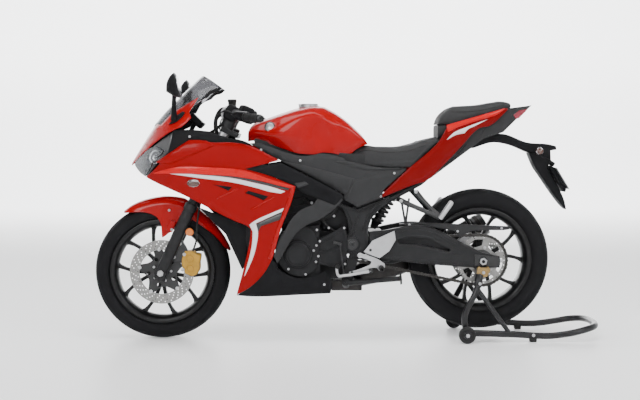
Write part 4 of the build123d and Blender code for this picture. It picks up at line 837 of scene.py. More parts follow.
# a ring swept along a smooth path; flat squeezes it, taper scales it along the way
def bar(name, path, radius, material, body="chassis", hides=(), around=20, flat=1.0, taper=None,
        smoothPath=True, samples=12):
    path = np.asarray(path, float)
    if smoothPath and len(path) > 2:
        span = np.concatenate([[0], np.cumsum(np.linalg.norm(np.diff(path, axis=0), axis=1))])
        tangent = np.gradient(path, span, axis=0)
        at = np.linspace(0, span[-1], (len(path) - 1) * samples + 1)
        i = np.clip(np.searchsorted(span, at, side="right") - 1, 0, len(path) - 2)
        h = (span[i + 1] - span[i])[:, None]
        t = ((at - span[i])[:, None]) / h
        line = ((1 + 2 * t) * (1 - t) ** 2 * path[i] + t * (1 - t) ** 2 * h * tangent[i]
                + t * t * (3 - 2 * t) * path[i + 1] + t * t * (t - 1) * h * tangent[i + 1])
    else:
        line = path
    n = len(line)
    way = np.gradient(line, axis=0)
    way /= np.linalg.norm(way, axis=1, keepdims=True)
    up = np.array([0, 1.0, 0]) if abs(way[0, 1]) < 0.9 else np.array([0, 0, 1.0])
    sideways = np.empty_like(line)
    for k in range(n):
        s = np.cross(way[k], up)
        s /= np.linalg.norm(s)
        sideways[k] = s
        up = np.cross(s, way[k])
    upward = np.cross(sideways, way)
    scale = np.ones(n)
    if taper is not None:
        scale = np.interp(np.linspace(0, 1, n), np.linspace(0, 1, len(taper)), taper)
    a = np.linspace(0, 2 * pi, around, endpoint=False)
    ends = np.concatenate([[0.0, 0.75, 1.0], np.ones(n - 2), [1.0, 0.75, 0.0]]) if n > 1 else np.ones(n)
    stations = np.concatenate([[0, 0, 0], np.arange(1, n - 1), [n - 1, n - 1, n - 1]])
    shift = np.zeros(len(stations))
    shift[2], shift[-3] = radius * 0.15, -radius * 0.15
    centre = line[stations] + way[stations] * shift[:, None]
    r = radius * scale[stations] * ends
    ring = (centre[:, None] + (sideways[stations][:, None] * np.cos(a)[None, :, None]
            + upward[stations][:, None] * np.sin(a)[None, :, None] * flat) * r[:, None, None])
    faces = gridFaces(len(stations), around, False, True)[:, ::-1]
    obj = piece(name, ring.reshape(-1, 3), faces, material, body=body, hides=hides)
    sharpen(obj, 40)
    return obj


# domed bolt heads with a socket, all in one piece
def bolts(name, places, radius, height, material=silverAlloy, body="chassis",
          way=(0, 1, 0)):
    z = np.array(way, float)
    z /= np.linalg.norm(z)
    x = np.array(Vector(z.tolist()).orthogonal().normalized())
    y = np.cross(z, x)
    profile = np.array([(1.0, 0), (1.0, 0.55), (0.86, 0.86), (0.62, 1.0), (0.5, 1.0), (0.48, 0.4),
            (0.001, 0.35)])
    a = np.linspace(0, 2 * pi, 18, endpoint=False)
    points, faces = [], []
    for k, place in enumerate(places):
        ring = (np.array(place, float) + profile[:, None, 1:2] * height * z + profile[:, None, 0:1] * radius
                * (np.cos(a)[None, :, None] * x + np.sin(a)[None, :, None] * y))
        points.append(ring.reshape(-1, 3))
        faces += gridFaces(len(profile), len(a), False, True, k * len(profile) * len(a)).tolist()
    obj = piece(name, np.vstack(points), faces, material, body=body)
    sharpen(obj, 35)
    return obj


# wheels: rims with paired spokes, discs, sprocket
def wheelRim(wheel):
    name, body, size = wheel + "Rim", wheel + "_wheel", wheelSizes[wheel]
    axle, rimHalf, hubRadius, hubHalf = size["axle"], size["rimHalf"], size["hubRadius"], size["hubHalf"]
    profile = [(199, -rimHalf + 15), (205, -rimHalf + 5), (212, -rimHalf + 0.5), (223, -rimHalf - 0.2),
               (226, -rimHalf + 1.5), (226, -rimHalf + 4), (224, -rimHalf + 5.5), (217, -rimHalf + 6.2),
               (215.8, -rimHalf + 9), (215.8, -rimHalf + 14), (206, -rimHalf + 24), (205, 0)]
    profile = np.array(profile)
    profile = np.vstack([profile, (profile * [1, -1])[::-1][1:]])
    inner = np.array([(198, rimHalf - 18), (194, rimHalf - 26), (192, 0), (194, -rimHalf + 26),
            (198, -rimHalf + 18)])
    turned(name + "Ring", np.vstack([profile, inner]), axle, (0, 1, 0), wheelBlack, body=body, around=144,
           hides=(wheel + "_rim",), angle=35)
    turned(name + "Hub", [(10, -hubHalf), (hubRadius - 3, -hubHalf), (hubRadius, -hubHalf + 3),
            (hubRadius - 3, -hubHalf + 12), (hubRadius - 7, -10), (hubRadius - 7, 10),
            (hubRadius - 3, hubHalf - 12), (hubRadius, hubHalf - 3), (hubRadius - 3, hubHalf), (10, hubHalf)],
           axle, (0, 1, 0), wheelBlack, body=body, around=64)
    points, faces = [], []
    section = np.linspace(0, 2 * pi, 28, endpoint=False)
    square = np.column_stack([np.sign(np.cos(section)) * np.abs(np.cos(section)) ** 0.45,
                              np.sign(np.sin(section)) * np.abs(np.sin(section)) ** 0.45])
    for pair in range(5):
        for side in (-1, 1):
            t = np.linspace(0, 1, 15)
            r = hubRadius - 8 + (200 - hubRadius + 8) * t
            angle = np.radians(size["firstSpokes"] + 72 * pair + side * (5.0 + 15.0 * t ** 1.25))
            wide = np.interp(t, [0, 0.25, 0.8, 0.93, 1], [11.0, 8.4, 7.2, 10.0, 16.0])
            deep = np.interp(t, [0, 0.3, 1], [18, 14, 12])
            centre = np.column_stack([axle[0] - r * np.cos(angle), np.zeros(15), axle[2] + r * np.sin(angle)])
            along = np.gradient(centre, axis=0)
            along /= np.linalg.norm(along, axis=1, keepdims=True)
            cross = np.cross(along, [0, 1, 0])
            ring = (centre[:, None] + cross[:, None] * (square[None, :, 0:1] * wide[:, None, None])
                    + np.array([0, 1.0, 0]) * (square[None, :, 1:2] * deep[:, None, None]))
            start = len(points) * 15 * 28
            points.append(ring.reshape(-1, 3))
            faces += gridFaces(15, 28, False, True, start).tolist()
            faces += [list(range(start, start + 28)), list(range(start + 14 * 28, start + 15 * 28))[::-1]]
    spokes = piece(name + "Spokes", np.vstack(points), faces, wheelBlack, body=body)
    sharpen(spokes, 45)


wheelRim("front")
wheelRim("rear")

fx, fz = frontAxle[0], frontAxle[2]
rx, rz = rearAxle[0], rearAxle[2]
drill = []
for row, (radius, shift) in enumerate([(104, 0), (113, 0.33), (122, 0.66), (130, 0.0)]):
    for k in range(30):
        a = 2 * pi * (k + shift) / 30
        drill.append(circle(fx + radius * cos(a), fz + radius * sin(a), 2.6, 10))
outer = circle(fx, fz, 138, 180)
plate("frontDiscRing", outer, 58.5, brushedSteel, body="front_wheel", holes=[circle(fx, fz, 96, 120)[::-1]]
      + drill, half=2.5, round=0.4, hides=("front_disc",))
carrier = []
for k in range(10):
    base = 2 * pi * k / 10 + 0.2
    reach = 100 if k % 2 == 0 else 66
    for d in (-0.12, 0.12):
        carrier.append((fx + reach * cos(base + d), fz + reach * sin(base + d)))
carrierHoles = [circle(fx + 58 * cos(2 * pi * (k + 0.5) / 5 + 0.2 + pi / 10),
        fz + 58 * sin(2 * pi * (k + 0.5) / 5 + 0.2 + pi / 10), 9, 20) for k in range(5)]
plate("frontDiscCarrier", carrier, 57.0, satinBlack, body="front_wheel", holes=carrierHoles, half=3.2,
      round=1.0, smoothStep=3)
buttons = [(fx + 97 * cos(2 * pi * k / 5 + 0.2), 60.5, fz + 97 * sin(2 * pi * k / 5 + 0.2)) for k in range(5)]
bolts("frontDiscButtons", buttons, 7.5, 2.5, body="front_wheel")
innerBolts = [(fx + 40 * cos(2 * pi * k / 5 + 0.55), 60, fz + 40 * sin(2 * pi * k / 5 + 0.55))
              for k in range(5)]
bolts("frontDiscBolts", innerBolts, 5.5, 4, body="front_wheel")
turned("frontDiscBoss", [(12, 44), (33, 44), (33, 58), (30, 61), (12, 61)], frontAxle, (0, 1, 0), satinBlack,
       body="front_wheel")

teeth = []
for k in range(43):
    for share, r in ((-0.36, 103.5), (-0.2, 105.5), (-0.1, 111.5), (0.1, 111.5), (0.2, 105.5), (0.36, 103.5)):
        a = 2 * pi * (k + share) / 43
        teeth.append((rx + r * cos(a), rz + r * sin(a)))
windowShape = ((90, -0.36), (93, 0), (90, 0.36), (64, 0.30), (61, 0), (64, -0.30))
rearHoles = []
for k in range(6):
    middle = 2 * pi * k / 6 + 0.25
    window = np.array([(rx + r * cos(middle + d), rz + r * sin(middle + d)) for r, d in windowShape])
    rearHoles.append(smoothOutline(window[::-1], 4, 60))
rearHoles += [circle(rx + 98.5 * cos(2 * pi * k / 30), rz + 98.5 * sin(2 * pi * k / 30), 2.6, 12)
              for k in range(30)]
plate("sprocketPlate", np.array(teeth), 92.0, brushedSteel, body="rear_wheel", holes=rearHoles, half=3.0,
      round=0.4, hides=("rear_sprocket",))
turned("sprocketBoss", [(12, 60), (46, 60), (50, 66), (54, 84), (52, 92), (44, 96.5), (12, 96.5)], rearAxle,
       (0, 1, 0), satinBlack, body="rear_wheel")
bolts("sprocketBolts", [(rx + 56 * cos(2 * pi * k / 6 + 0.77), 95, rz + 56 * sin(2 * pi * k / 6 + 0.77))
        for k in range(6)], 6.5, 6, body="rear_wheel")
rearDrill = []
for radius, shift in ((86, 0), (94, 0.33), (102, 0.66)):
    rearDrill += [circle(rx + radius * cos(2 * pi * (k + shift) / 26),
            rz + radius * sin(2 * pi * (k + shift) / 26), 2.6, 10) for k in range(26)]
plate("rearDiscRing", circle(rx, rz, 110, 150), -73.5, brushedSteel, body="rear_wheel",
      holes=[circle(rx, rz, 78, 100)[::-1]] + rearDrill, half=2.5, round=0.4, hides=("rear_disc",))
rearCarrier = []
for k in range(10):
    base = 2 * pi * k / 10 + 0.5
    reach = 82 if k % 2 == 0 else 56
    for d in (-0.13, 0.13):
        rearCarrier.append((rx + reach * cos(base + d), rz + reach * sin(base + d)))
plate("rearDiscCarrier", rearCarrier, -72.0, satinBlack, body="rear_wheel", half=3.0, round=1.0, smoothStep=3)
turned("rearDiscBoss", [(12, -76), (44, -76), (46, -70), (46, -60), (12, -60)], rearAxle, (0, 1, 0),
       satinBlack, body="rear_wheel")
print("wheels")


# front fork, mudguard and brake
# a rounded box: a superellipsoid of the given half sizes along three axes
def superBox(name, centre, size, material, body="chassis", axes=((1, 0, 0), (0, 1, 0), (0, 0, 1)),
             power=0.35, hides=(), around=32, rings=20):
    u = np.linspace(-pi / 2, pi / 2, rings)
    v = np.linspace(0, 2 * pi, around, endpoint=False)
    cu, su, cv, sv = [np.sign(a) * np.abs(a) ** power for a in (np.cos(u), np.sin(u), np.cos(v), np.sin(v))]
    cu, su = cu[:, None], su[:, None]
    local = np.dstack([cu * cv[None], cu * sv[None], su * np.ones((1, around))])
    axes = np.array([np.array(a, float) / np.linalg.norm(a) for a in axes])
    points = np.array(centre, float) + (local * np.array(size, float)) @ axes
    obj = piece(name, points.reshape(-1, 3), gridFaces(rings, around, False, True), material, body=body,
                hides=hides)
    sharpen(obj, 50)
    return obj


def leaning(level, rise):   # box axes turned about Y
    return ((level, 0, rise), (0, 1, 0), (-rise, 0, level))


rakeAngle = radians(24.5)
steerUp = np.array([-sin(rakeAngle), 0, cos(rakeAngle)])
steerBack = np.array([-cos(rakeAngle), 0, -sin(rakeAngle)])
axleFront = np.array(frontAxle, float)
steerFoot = axleFront + steerBack * 35


def onFork(along, y, ahead=0.0):
    return axleFront + steerUp * along - steerBack * ahead + np.array([0, y, 0.0])


for side, tag in bothSides:
    turned("forkLeg" + tag, [(0.1, -33), (15, -33), (22, -27), (25, -16), (25, 246), (26.5, 251), (26.5, 259),
            (25, 264), (25, 292), (28.4, 297), (28.4, 316), (27, 323), (22.5, 327), (20.6, 328), (20.6, 691),
            (18, 695), (0.1, 695)], onFork(0, side * 97), steerUp, frameBlack, body="steering",
           around=48, hides=leftOnly(side, "fork_legs"))
    turned("forkFoot" + tag, [(0.1, -21), (23, -21), (27, -17), (28, -12), (28, 12), (27, 17), (23, 21),
            (0.1, 21)], (frontAxle[0], side * 97, frontAxle[2]), (0, 1, 0), frameBlack, body="steering",
           around=40)
    turned("axleEnd" + tag, [(0.1, 20), (9, 20), (15, 20), (15, 27), (13, 30), (9.5, 30), (8, 26), (0.1, 26)],
           (frontAxle[0], side * 97, frontAxle[2]), (0, side, 0), silverAlloy, body="steering",
           around=6, angle=20)
    superBox("pinchLug" + tag, onFork(-20, side * 97) + steerBack * 14, (9, 17, 16), frameBlack,
             body="steering", axes=(steerUp, (0, 1, 0), steerBack))
turned("axleSpindle", [(0.1, -96), (13.5, -96), (13.5, -47), (8, -46.5), (8, 61.5), (13.5, 61.6), (13.5, 96),
        (0.1, 96)], frontAxle, (0, 1, 0), silverAlloy, body="steering")
for side, name in ((1, "reflector"), (-1, "reflectorRight")):
    turned(name, [(0.1, 0), (17, 0), (17, 4), (15.2, 5.5), (14.4, 4.6), (0.1, 5.2)], (678, side * 122.5, 470),
           (0, side, 0), amberLens, body="steering", around=36)

guardAngle = [57, 58.5, 61, 67, 74, 80, 85, 88, 89.6, 90.6, 93, 98, 104, 106.6, 108.2, 112, 118, 126, 134,
              142, 150, 157, 163]
guardCrown = [309, 312, 315, 318, 320, 321.5, 323, 325, 326, 326, 327, 328, 330, 331, 330, 324, 315, 307, 305,
              305, 306, 308, 311]
guardLow = [306, 300, 294, 281, 269, 256, 240, 222, 205, 150, 150, 162, 187, 203, 255, 262, 262, 262, 265,
            273, 281, 288, 305]
angles = np.concatenate([np.linspace(57, 88, 44), np.linspace(88.4, 91, 12), np.linspace(92, 107, 24),
                         np.linspace(107.4, 109, 5), np.linspace(110, 163, 50)])
crown = np.interp(angles, guardAngle, guardCrown)
crown = np.convolve(np.pad(crown, 6, mode="edge"), np.ones(13) / 13, "valid")
low = np.interp(angles, guardAngle, guardLow)
tipRound = np.clip((angles - 57) / 3.0, 0, 1) * np.clip((163 - angles) / 4.0, 0, 1)
tipRound = np.sqrt(np.maximum(tipRound, 0.0) * (2 - np.minimum(tipRound, 1.0)))
across = np.linspace(-1, 1, 81)
s = np.abs(across)
drop = np.interp(s, [0, 0.2, 0.36, 0.5, 0.62, 1], [0, 1.2, 6, 17, 36, 60])
wideY = np.interp(s, [0, 0.2, 0.36, 0.5, 0.62, 1], [0, 25, 43, 56, 63, 66])
for _ in range(6):
    drop[1:-1] = (drop[:-2] + 2 * drop[1:-1] + drop[2:]) / 4
    wideY[1:-1] = (wideY[:-2] + 2 * wideY[1:-1] + wideY[2:]) / 4


def guardSheet(depth):
    radius = crown[:, None] - drop[None]
    down = np.clip((s[None] - 0.62) / 0.38, 0, 1)
    radius = radius * (1 - down) + down * np.minimum(low[:, None], radius)
    radius = np.maximum(radius, low[:, None]) - depth * (1 - np.clip((s[None] - 0.4) / 0.3, 0, 1))
    y = wideY[None] * (0.55 + 0.45 * tipRound[:, None]) - depth * np.clip((s[None] - 0.3) / 0.3, 0, 1)
    y = np.sign(across)[None] * y
    a = np.radians(angles)[:, None]
    return np.dstack([frontAxle[0] + radius * np.cos(a), y, frontAxle[2] + radius * np.sin(a)])


guardRing = np.concatenate([guardSheet(0.0), guardSheet(2.6)[:, ::-1]], 1)
guardFaces = gridFaces(len(angles), 162, False, True)[:, ::-1].tolist()
count = len(angles) * 162
guardFaces += [[k, k + 1, 160 - k, 161 - k] for k in range(80)]
guardFaces += [[count - 162 + k, count - 162 + k + 1, count - 1 - k - 1, count - 1 - k][::-1]
               for k in range(80)]
fender = piece("mudguard", guardRing.reshape(-1, 3), guardFaces, redPaint, body="steering",
               hides=("front_fender",))
sharpen(fender, 40)
for side, tag in bothSides:
    superBox("guardLug" + tag, (762, side * 70, 492), (15, 9, 25), redPaint, body="steering",
             axes=((0.9, 0, 0.42), (0, 1, 0), steerUp))
    bolts("guardBolts" + tag, [(770, side * 66, 560), (758, side * 78, 478)], 6, 4, body="steering",
          way=(0, side, 0))

calliperBody = [(702, 388), (668, 386), (650, 372), (641, 348), (640, 306), (652, 284), (672, 276),
                (700, 288), (713, 316), (716, 350)]
plate("calliperOuter", calliperBody, 80.5, goldPaint, body="steering", half=11.5, round=5, smoothStep=5,
      hides=("front_caliper",))
plate("calliperInner", [(x - 2, z) for x, z in calliperBody], 48, goldPaint, body="steering", half=7.5,
      round=3, smoothStep=5)
superBox("calliperBridge", (652, 64, 330), (14, 27, 46), goldPaint, body="steering", axes=leaning(0.98, 0.2))
for z in (352, 310):
    turned(f"piston{z}", [(0.1, 0), (17, 0), (17, 3.5), (15, 5.5), (12, 5.8), (11, 3.5), (0.1, 3.5)],
           (680, 91, z), (0, 1, 0), goldPaint, body="steering", around=40)
plate("calliperMount", [(692, 396), (684, 372), (706, 334), (774, 346), (768, 372), (745, 418), (716, 438)],
      83, satinBlack, body="steering", half=7, round=2.5, smoothStep=6)
bolts("calliperBolts", [(704, 94, 372), (710, 94, 306), (722, 90, 418), (748, 90, 360)], 7.5, 6,
      body="steering")
bar("brakeHose", [(668, 88, 386), (655, 96, 420), (648, 104, 500), (632, 100, 600), (604, 92, 700),
                  (566, 78, 800)], 4.2, blackRubber, body="steering")
print("front end")


# bars, levers, grips and mirrors
barRoot, barEnd = np.array([488, 104, 966.0]), np.array([364, 340, 948.0])
for side, tag in bothSides:
    flip = np.array([1, side, 1.0])
    root, end = barRoot * flip, barEnd * flip
    way = (end - root) / np.linalg.norm(end - root)
    length = np.linalg.norm(end - root)
    profile = [(11, 118), (18.5, 118), (21, 121), (21, 126), (17.5, 129)]
    for k in range(18):
        at = 131 + k * 6.0
        profile += [(17.2, at), (17.2, at + 3.6), (16.0, at + 4.1), (16.0, at + 5.6)]
    profile += [(17, 240), (17, 246), (14, 250), (11, 250)]
    turned("grip" + tag, profile, root, way, blackRubber, body="steering", around=36,
           hides=leftOnly(side, "grips"), angle=45)
    turned("barEnd" + tag, [(0.1, 248), (12, 248), (13.5, 250), (13.5, length - 3), (11, length), (6, length),
            (5, length - 4), (0.1, length - 4)], root, way, satinBlack, body="steering", around=32)
    superBox("switchBody" + tag, root + way * 94 + steerUp * 12, (33, 26, 24), deepPlastic, body="steering",
             axes=(steerUp, steerBack, way), power=0.3, hides=leftOnly(side, "hand_controls"))
    superBox("leverPerch" + tag, root + way * 58 - steerBack * 4, (15, 20, 10), satinBlack, body="steering",
             axes=(steerUp, steerBack, way), power=0.4)
    pivot = root + way * 60 - steerBack * 30
    leverEnd = end - steerBack * 58 - way * 10
    middle = (pivot + leverEnd) / 2 - steerBack * 12
    bar("lever" + tag, [pivot, pivot + (middle - pivot) * 0.5 - steerBack * 4, middle, leverEnd], 7.5,
        satinBlack, body="steering", flat=0.55, taper=[1.2, 1.0, 0.9, 0.85, 0.8, 0.95])
    turned("leverPivot" + tag, [(0.1, -10), (9, -10), (9, 10), (7, 12), (0.1, 12)], pivot + way * 2, steerUp,
           satinBlack, body="steering", around=28)
    for k, (along, up) in enumerate(((86, 20), (98, 21), (108, 18))):
        superBox(f"switch{tag}{k}", root + way * along + steerUp * 6 + steerBack * 23, (5, 4, 4.5),
                 blackRubber if k != 1 else amberLens, body="steering",
                 axes=(steerUp, steerBack, way), power=0.5)
cup = np.array([508.0, -141, 1008])
turned("fluidCup", [(0.1, -3), (16, -3), (18, 0), (18.4, 22), (20, 24), (20, 33), (18, 35.5), (0.1, 35.5)],
       cup, (0, 0, 1), blackRubber, body="steering", around=40)
bar("cupBracket", [cup + [-4, 0, 4], cup + [-14, 8, -18], cup + [-22, 22, -42]], 7, satinBlack,
    body="steering", flat=0.6)
for k, y in enumerate((66, 24, -40)):
    bar(f"barHose{k}", [(500 + 8 * k, y + 20, 985), (540, y + 14, 996 - 10 * k), (568, y, 958), (572, y, 915),
            (556, y, 868)], 6, blackRubber, body="steering")
bar("clutchCable", [(482, 168, 968), (520, 160, 985), (560, 140, 960), (566, 120, 900), (540, 105, 830)], 3.4,
    blackRubber, body="steering")
bar("throttleCable", [(470, -170, 962), (514, -150, 980), (556, -120, 950), (556, -90, 880), (520, -80, 810)],
    3.4, blackRubber, body="steering")
turned("stemNut", [(0.1, 681), (19, 681), (21, 684), (21, 692), (17, 697), (9, 697), (8, 690), (0.1, 690)],
       steerFoot, steerUp, satinBlack, body="steering", around=6, angle=20)
for side, tag in bothSides:
    turned("forkCap" + tag, [(0.1, 693), (17, 693), (18, 696), (15, 702), (9, 702), (8, 699), (0.1, 699)],
           onFork(0, side * 97), steerUp, silverAlloy, body="steering", around=30)

# share of the width from the foot side to the tip, and the outline's scale there
shares = np.array([0.0, 0.03, 0.10, 0.25, 0.5, 0.75, 0.9, 0.97, 1.0])
scales = np.array([0.30, 0.62, 0.86, 0.97, 1.0, 0.97, 0.86, 0.62, 0.30])
mirrorOutline = smoothOutline([(722, 1137), (716, 1130), (706, 1098), (697, 1055), (698, 1033), (722, 1040),
                               (754, 1058), (752, 1092), (738, 1122)], 6, 60)
for side, tag in bothSides:
    middle = np.array([718, 1084.0])
    y = 214 + shares * 142
    ring = middle + (mirrorOutline[None] - middle) * scales[:, None, None]
    ring[..., 0] = np.maximum(ring[..., 0], 697 + (ring[..., 1] - 1040) * 0.18)
    points = np.dstack([ring[..., 0], np.repeat((side * y)[:, None], ring.shape[1], 1), ring[..., 1]])
    m = ring.shape[1]
    faces = gridFaces(len(y), m, False, True).tolist()
    faces += [list(range(m))[::-1], list(range((len(y) - 1) * m, len(y) * m))]
    if side > 0:
        faces = [f[::-1] for f in faces]
    shell = piece("mirrorShell" + tag, points.reshape(-1, 3), faces, deepPlastic,
                  hides=leftOnly(side, "mirrors"))
    sharpen(shell, 50)
    glassOutline = [(225, 1046), (250, 1040), (330, 1052), (346, 1068), (344, 1104), (326, 1122), (250, 1118),
                    (228, 1098)]
    glass = smoothOutline(glassOutline, 5, 60)
    x = 694.6 + (glass[:, 1] - 1040) * 0.18
    front = np.column_stack([x, side * glass[:, 0], glass[:, 1]])
    back = front + [3.0, 0, 0]
    k = len(glass)
    glassFaces = [list(range(k)), list(range(k, 2 * k))[::-1]]
    glassFaces += [[(i + 1) % k, i, i + k, (i + 1) % k + k] for i in range(k)]
    if side > 0:
        glassFaces = [f[::-1] for f in glassFaces]
    pane = piece("mirrorPane" + tag, np.vstack([front, back]), glassFaces, mirrorFace,
                 hides=leftOnly(side, "mirror_glass"))
    sharpen(pane, 30)
    bar("mirrorStalk" + tag, [(738, side * 156, 946), (736, side * 168, 964), (735, side * 186, 990),
            (732, side * 210, 1024), (726, side * 240, 1060)], 10, deepPlastic, flat=0.8,
        taper=[1.5, 1.15, 1.0, 0.95, 1.1])
panel("mirrorWedge", hull, [(758, 926), (748, 940), (722, 966), (700, 980), (690, 976), (700, 960),
        (735, 932)], deepPlastic, lift=5, thick=6, lip=2)

dashUp = np.array([-0.7, 0, 0.714])
dashAcross = np.array([0, 1.0, 0])
dashFore = np.cross(dashAcross, dashUp)
dashCentre = np.array([655, 0, 946.0])
superBox("dashCase", dashCentre, (75, 37, 17), deepPlastic, axes=(dashAcross, dashFore, dashUp), power=0.3,
         hides=("dash",))
superBox("dashGlass", dashCentre + dashUp * 12, (66, 30, 6.5), smokeLens,
         axes=(dashAcross, dashFore, dashUp), power=0.3)
bar("dashStay", [(662, 0, 936), (676, 0, 910), (690, 0, 880)], 10, frameBlack)
for side, tag in bothSides:
    root = barRoot * [1, side, 1]
    turned("barClamp" + tag, [(20.8, -15), (29, -15), (31, -12), (31, 12), (29, 15), (20.8, 15)],
           onFork(735, side * 97), steerUp, satinBlack, body="steering", around=40)
    turned("forkSleeve" + tag, [(20.7, 640), (21.6, 641), (21.6, 686), (20.7, 687)], onFork(0, side * 97),
           steerUp, silverAlloy, body="steering", around=40)
    bar("clampLoop" + tag, [onFork(712, side * 97) - steerBack * 30, onFork(742, side * 100) - steerBack * 44,
            onFork(768, side * 104) - steerBack * 24, onFork(760, side * 106) + steerBack * 4], 6.5,
        silverAlloy, body="steering", flat=0.7)
    superBox("switchNest" + tag, onFork(748, side * 120) - steerBack * 4, (34, 22, 30), deepPlastic,
             body="steering", axes=(steerUp, (0, 1, 0), steerBack), power=0.5)
    bolts("clampBolts" + tag, [onFork(735, side * 97) + steerBack * 31 + [0, side * 8, 0]], 5.5, 5,
          body="steering", way=tuple(steerBack))
    bolts("topBolts" + tag, [onFork(700, side * 60), onFork(700, side * 30)], 6, 5, body="steering",
          way=tuple(steerUp))
    superBox("cylinderBody" + tag, root + np.array([-124, side * 236, -18.0]) / 267.2 * 62 - steerBack * 16
             + steerUp * 6, (14, 14, 30), satinBlack, body="steering",
             axes=(steerUp, steerBack, np.array([-124, side * 236, -18.0])), power=0.4)
bar("loom", [(500, 60, 960), (540, 70, 930), (580, 60, 900), (620, 40, 880)], 7, blackRubber, body="steering")
print("bars and mirrors")

# chain, swingarm and foot controls
chainY, rearPitch, frontPitch, linkPitch = 92.0, 109.0, 38.0, 15.875
driveAt, wheelAt = np.array([66, 402.0]), np.array([rearAxle[0], rearAxle[2]])
run = driveAt - wheelAt
runLength = np.hypot(*run)
tilt = np.arctan2(run[1], run[0])
spread = np.arccos((rearPitch - frontPitch) / runLength)


def arcPoints(centre, radius, a0, a1, count):
    a = np.linspace(a0, a1, count)
    return centre + radius * np.column_stack([np.cos(a), np.sin(a)])


loop = np.vstack([arcPoints(driveAt, frontPitch, tilt + spread, tilt - spread, 40),
                  arcPoints(wheelAt, rearPitch, tilt - spread, tilt - 2 * pi + spread, 120)])
loop = np.vstack([loop, loop[:1]])
gone = np.concatenate([[0], np.cumsum(np.hypot(*np.diff(loop, axis=0).T))])
linkCount = int(round(gone[-1] / linkPitch / 2) * 2)
pinAt = np.arange(linkCount) * gone[-1] / linkCount
pins = np.column_stack([np.interp(pinAt, gone, loop[:, k]) for k in (0, 1)])
half = np.linspace(pi / 2, 3 * pi / 2, 6)
shape = np.vstack([np.column_stack([6.6 * np.cos(half), 6.6 * np.sin(half)]), [(linkPitch / 2, -5.0)],
                   np.column_stack([linkPitch - 6.6 * np.cos(half), -6.6 * np.sin(half)]),
                   [(linkPitch / 2, 5.0)]])
points, faces = [], []
for k in range(linkCount):
    p, q = pins[k], pins[(k + 1) % linkCount]
    way = (q - p) / np.hypot(*(q - p))
    side = np.array([-way[1], way[0]])
    flat = p + shape[:, :1] * way + shape[:, 1:] * side
    yOut = 7.4 if k % 2 else 5.4
    for low, high in ((yOut - 1.7, yOut), (-yOut, -yOut + 1.7)):
        start = len(points) * len(shape)
        for y in (low, high):
            points.append(np.column_stack([flat[:, 0], np.full(len(flat), chainY + y), flat[:, 1]]))
        n = len(shape)
        faces += [list(range(start, start + n))[::-1], list(range(start + n, start + 2 * n))]
        faces += [[start + i, start + (i + 1) % n, start + n + (i + 1) % n, start + n + i] for i in range(n)]
links = piece("chainLinks", np.vstack(points), [f[::-1] for f in faces], chainSteel, hides=("drive_chain",))
sharpen(links, 30)
points, faces = [], []
a = np.linspace(0, 2 * pi, 8, endpoint=False)
for k in range(linkCount):
    for radius, reach in ((4.9, 3.6), (2.6, 8.0)):
        start = len(points) * 8
        ring = np.column_stack([pins[k, 0] + radius * np.cos(a), pins[k, 1] + radius * np.sin(a)])
        for y in (-reach, reach):
            points.append(np.column_stack([ring[:, 0], np.full(8, chainY + y), ring[:, 1]]))
        faces += [[start + i, start + 8 + i, start + 8 + (i + 1) % 8, start + (i + 1) % 8] for i in range(8)]
        faces += [list(range(start, start + 8)), list(range(start + 8, start + 16))[::-1]]
rollers = piece("chainRollers", np.vstack(points), faces, chainSteel)
sharpen(rollers, 30)

armOutline = [(-88, 470), (-150, 476), (-200, 486), (-268, 497), (-347, 491), (-470, 432), (-572, 380),
              (-640, 366), (-651, 352), (-651, 326), (-640, 315), (-523, 317), (-371, 328), (-219, 344),
              (-137, 358), (-88, 366)]
armWindow = [(-206, 436), (-262, 452), (-340, 446), (-400, 428), (-460, 400), (-490, 380), (-480, 374),
             (-436, 380), (-300, 413), (-216, 420)]
ridge = [(-104, 452), (-196, 468), (-268, 479), (-340, 473), (-460, 416), (-470, 422), (-346, 486),
         (-268, 492), (-196, 480), (-104, 465)]
lowRidge = [(-110, 372), (-219, 352), (-371, 336), (-523, 325), (-560, 324), (-560, 333), (-523, 335),
            (-371, 346), (-219, 362), (-110, 384)]
for side, tag in bothSides:
    plate("armBeam" + tag, armOutline, side * 123.5, frameBlack, holes=[armWindow[::-1]], half=11.5, round=5,
          smoothStep=10)
    plate("armWeb" + tag, [(-190, 470), (-268, 482), (-346, 476), (-470, 420), (-530, 385), (-530, 350),
            (-371, 345), (-190, 370)], side * 104, frameBlack, half=2, round=0.5, smoothStep=10)
    for k, outline in enumerate((ridge, lowRidge)):
        plate(f"armRidge{tag}{k}", outline, side * 134, frameBlack, half=2.2, round=1.5, smoothStep=8)
    plate("chainAdjuster" + tag, [(-540, 372), (-640, 362), (-648, 350), (-648, 328), (-636, 320),
            (-540, 322)], side * 136.5, satinBlack, holes=[circle(rx - 8, rz, 10, 20)],
          half=1.6, round=0.6)
    turned("axleNut" + tag, [(0.1, 0), (17, 0), (17, 11), (15, 14), (9, 14), (8, 10), (0.1, 10)],
           (rx, side * 137.5, rz), (0, side, 0), silverAlloy, around=6, angle=20)
    bolts("adjusterBolts" + tag, [(-652, side * 124, 343)], 7, 12, way=(-1, 0, 0.1))
    turned("pivotNut" + tag, [(0.1, 0), (22, 0), (24, 2), (24, 5), (15, 6), (15, 12), (12, 14), (7, 14),
            (6, 8), (0.1, 8)], (-15, side * 133, 417), (0, side, 0), satinBlack,
           around=32)
guardShape = [(-221, 503), (-302, 507), (-548, 497), (-700, 489), (-706, 484), (-697, 479), (-603, 474),
              (-526, 469), (-495, 452), (-482, 440), (-470, 452), (-456, 472), (-428, 477), (-300, 494),
              (-221, 496)]
plate("chainCover", guardShape, 104, darkPlastic, half=3.4, round=1.4, smoothStep=10, hides=("chain_guard",))
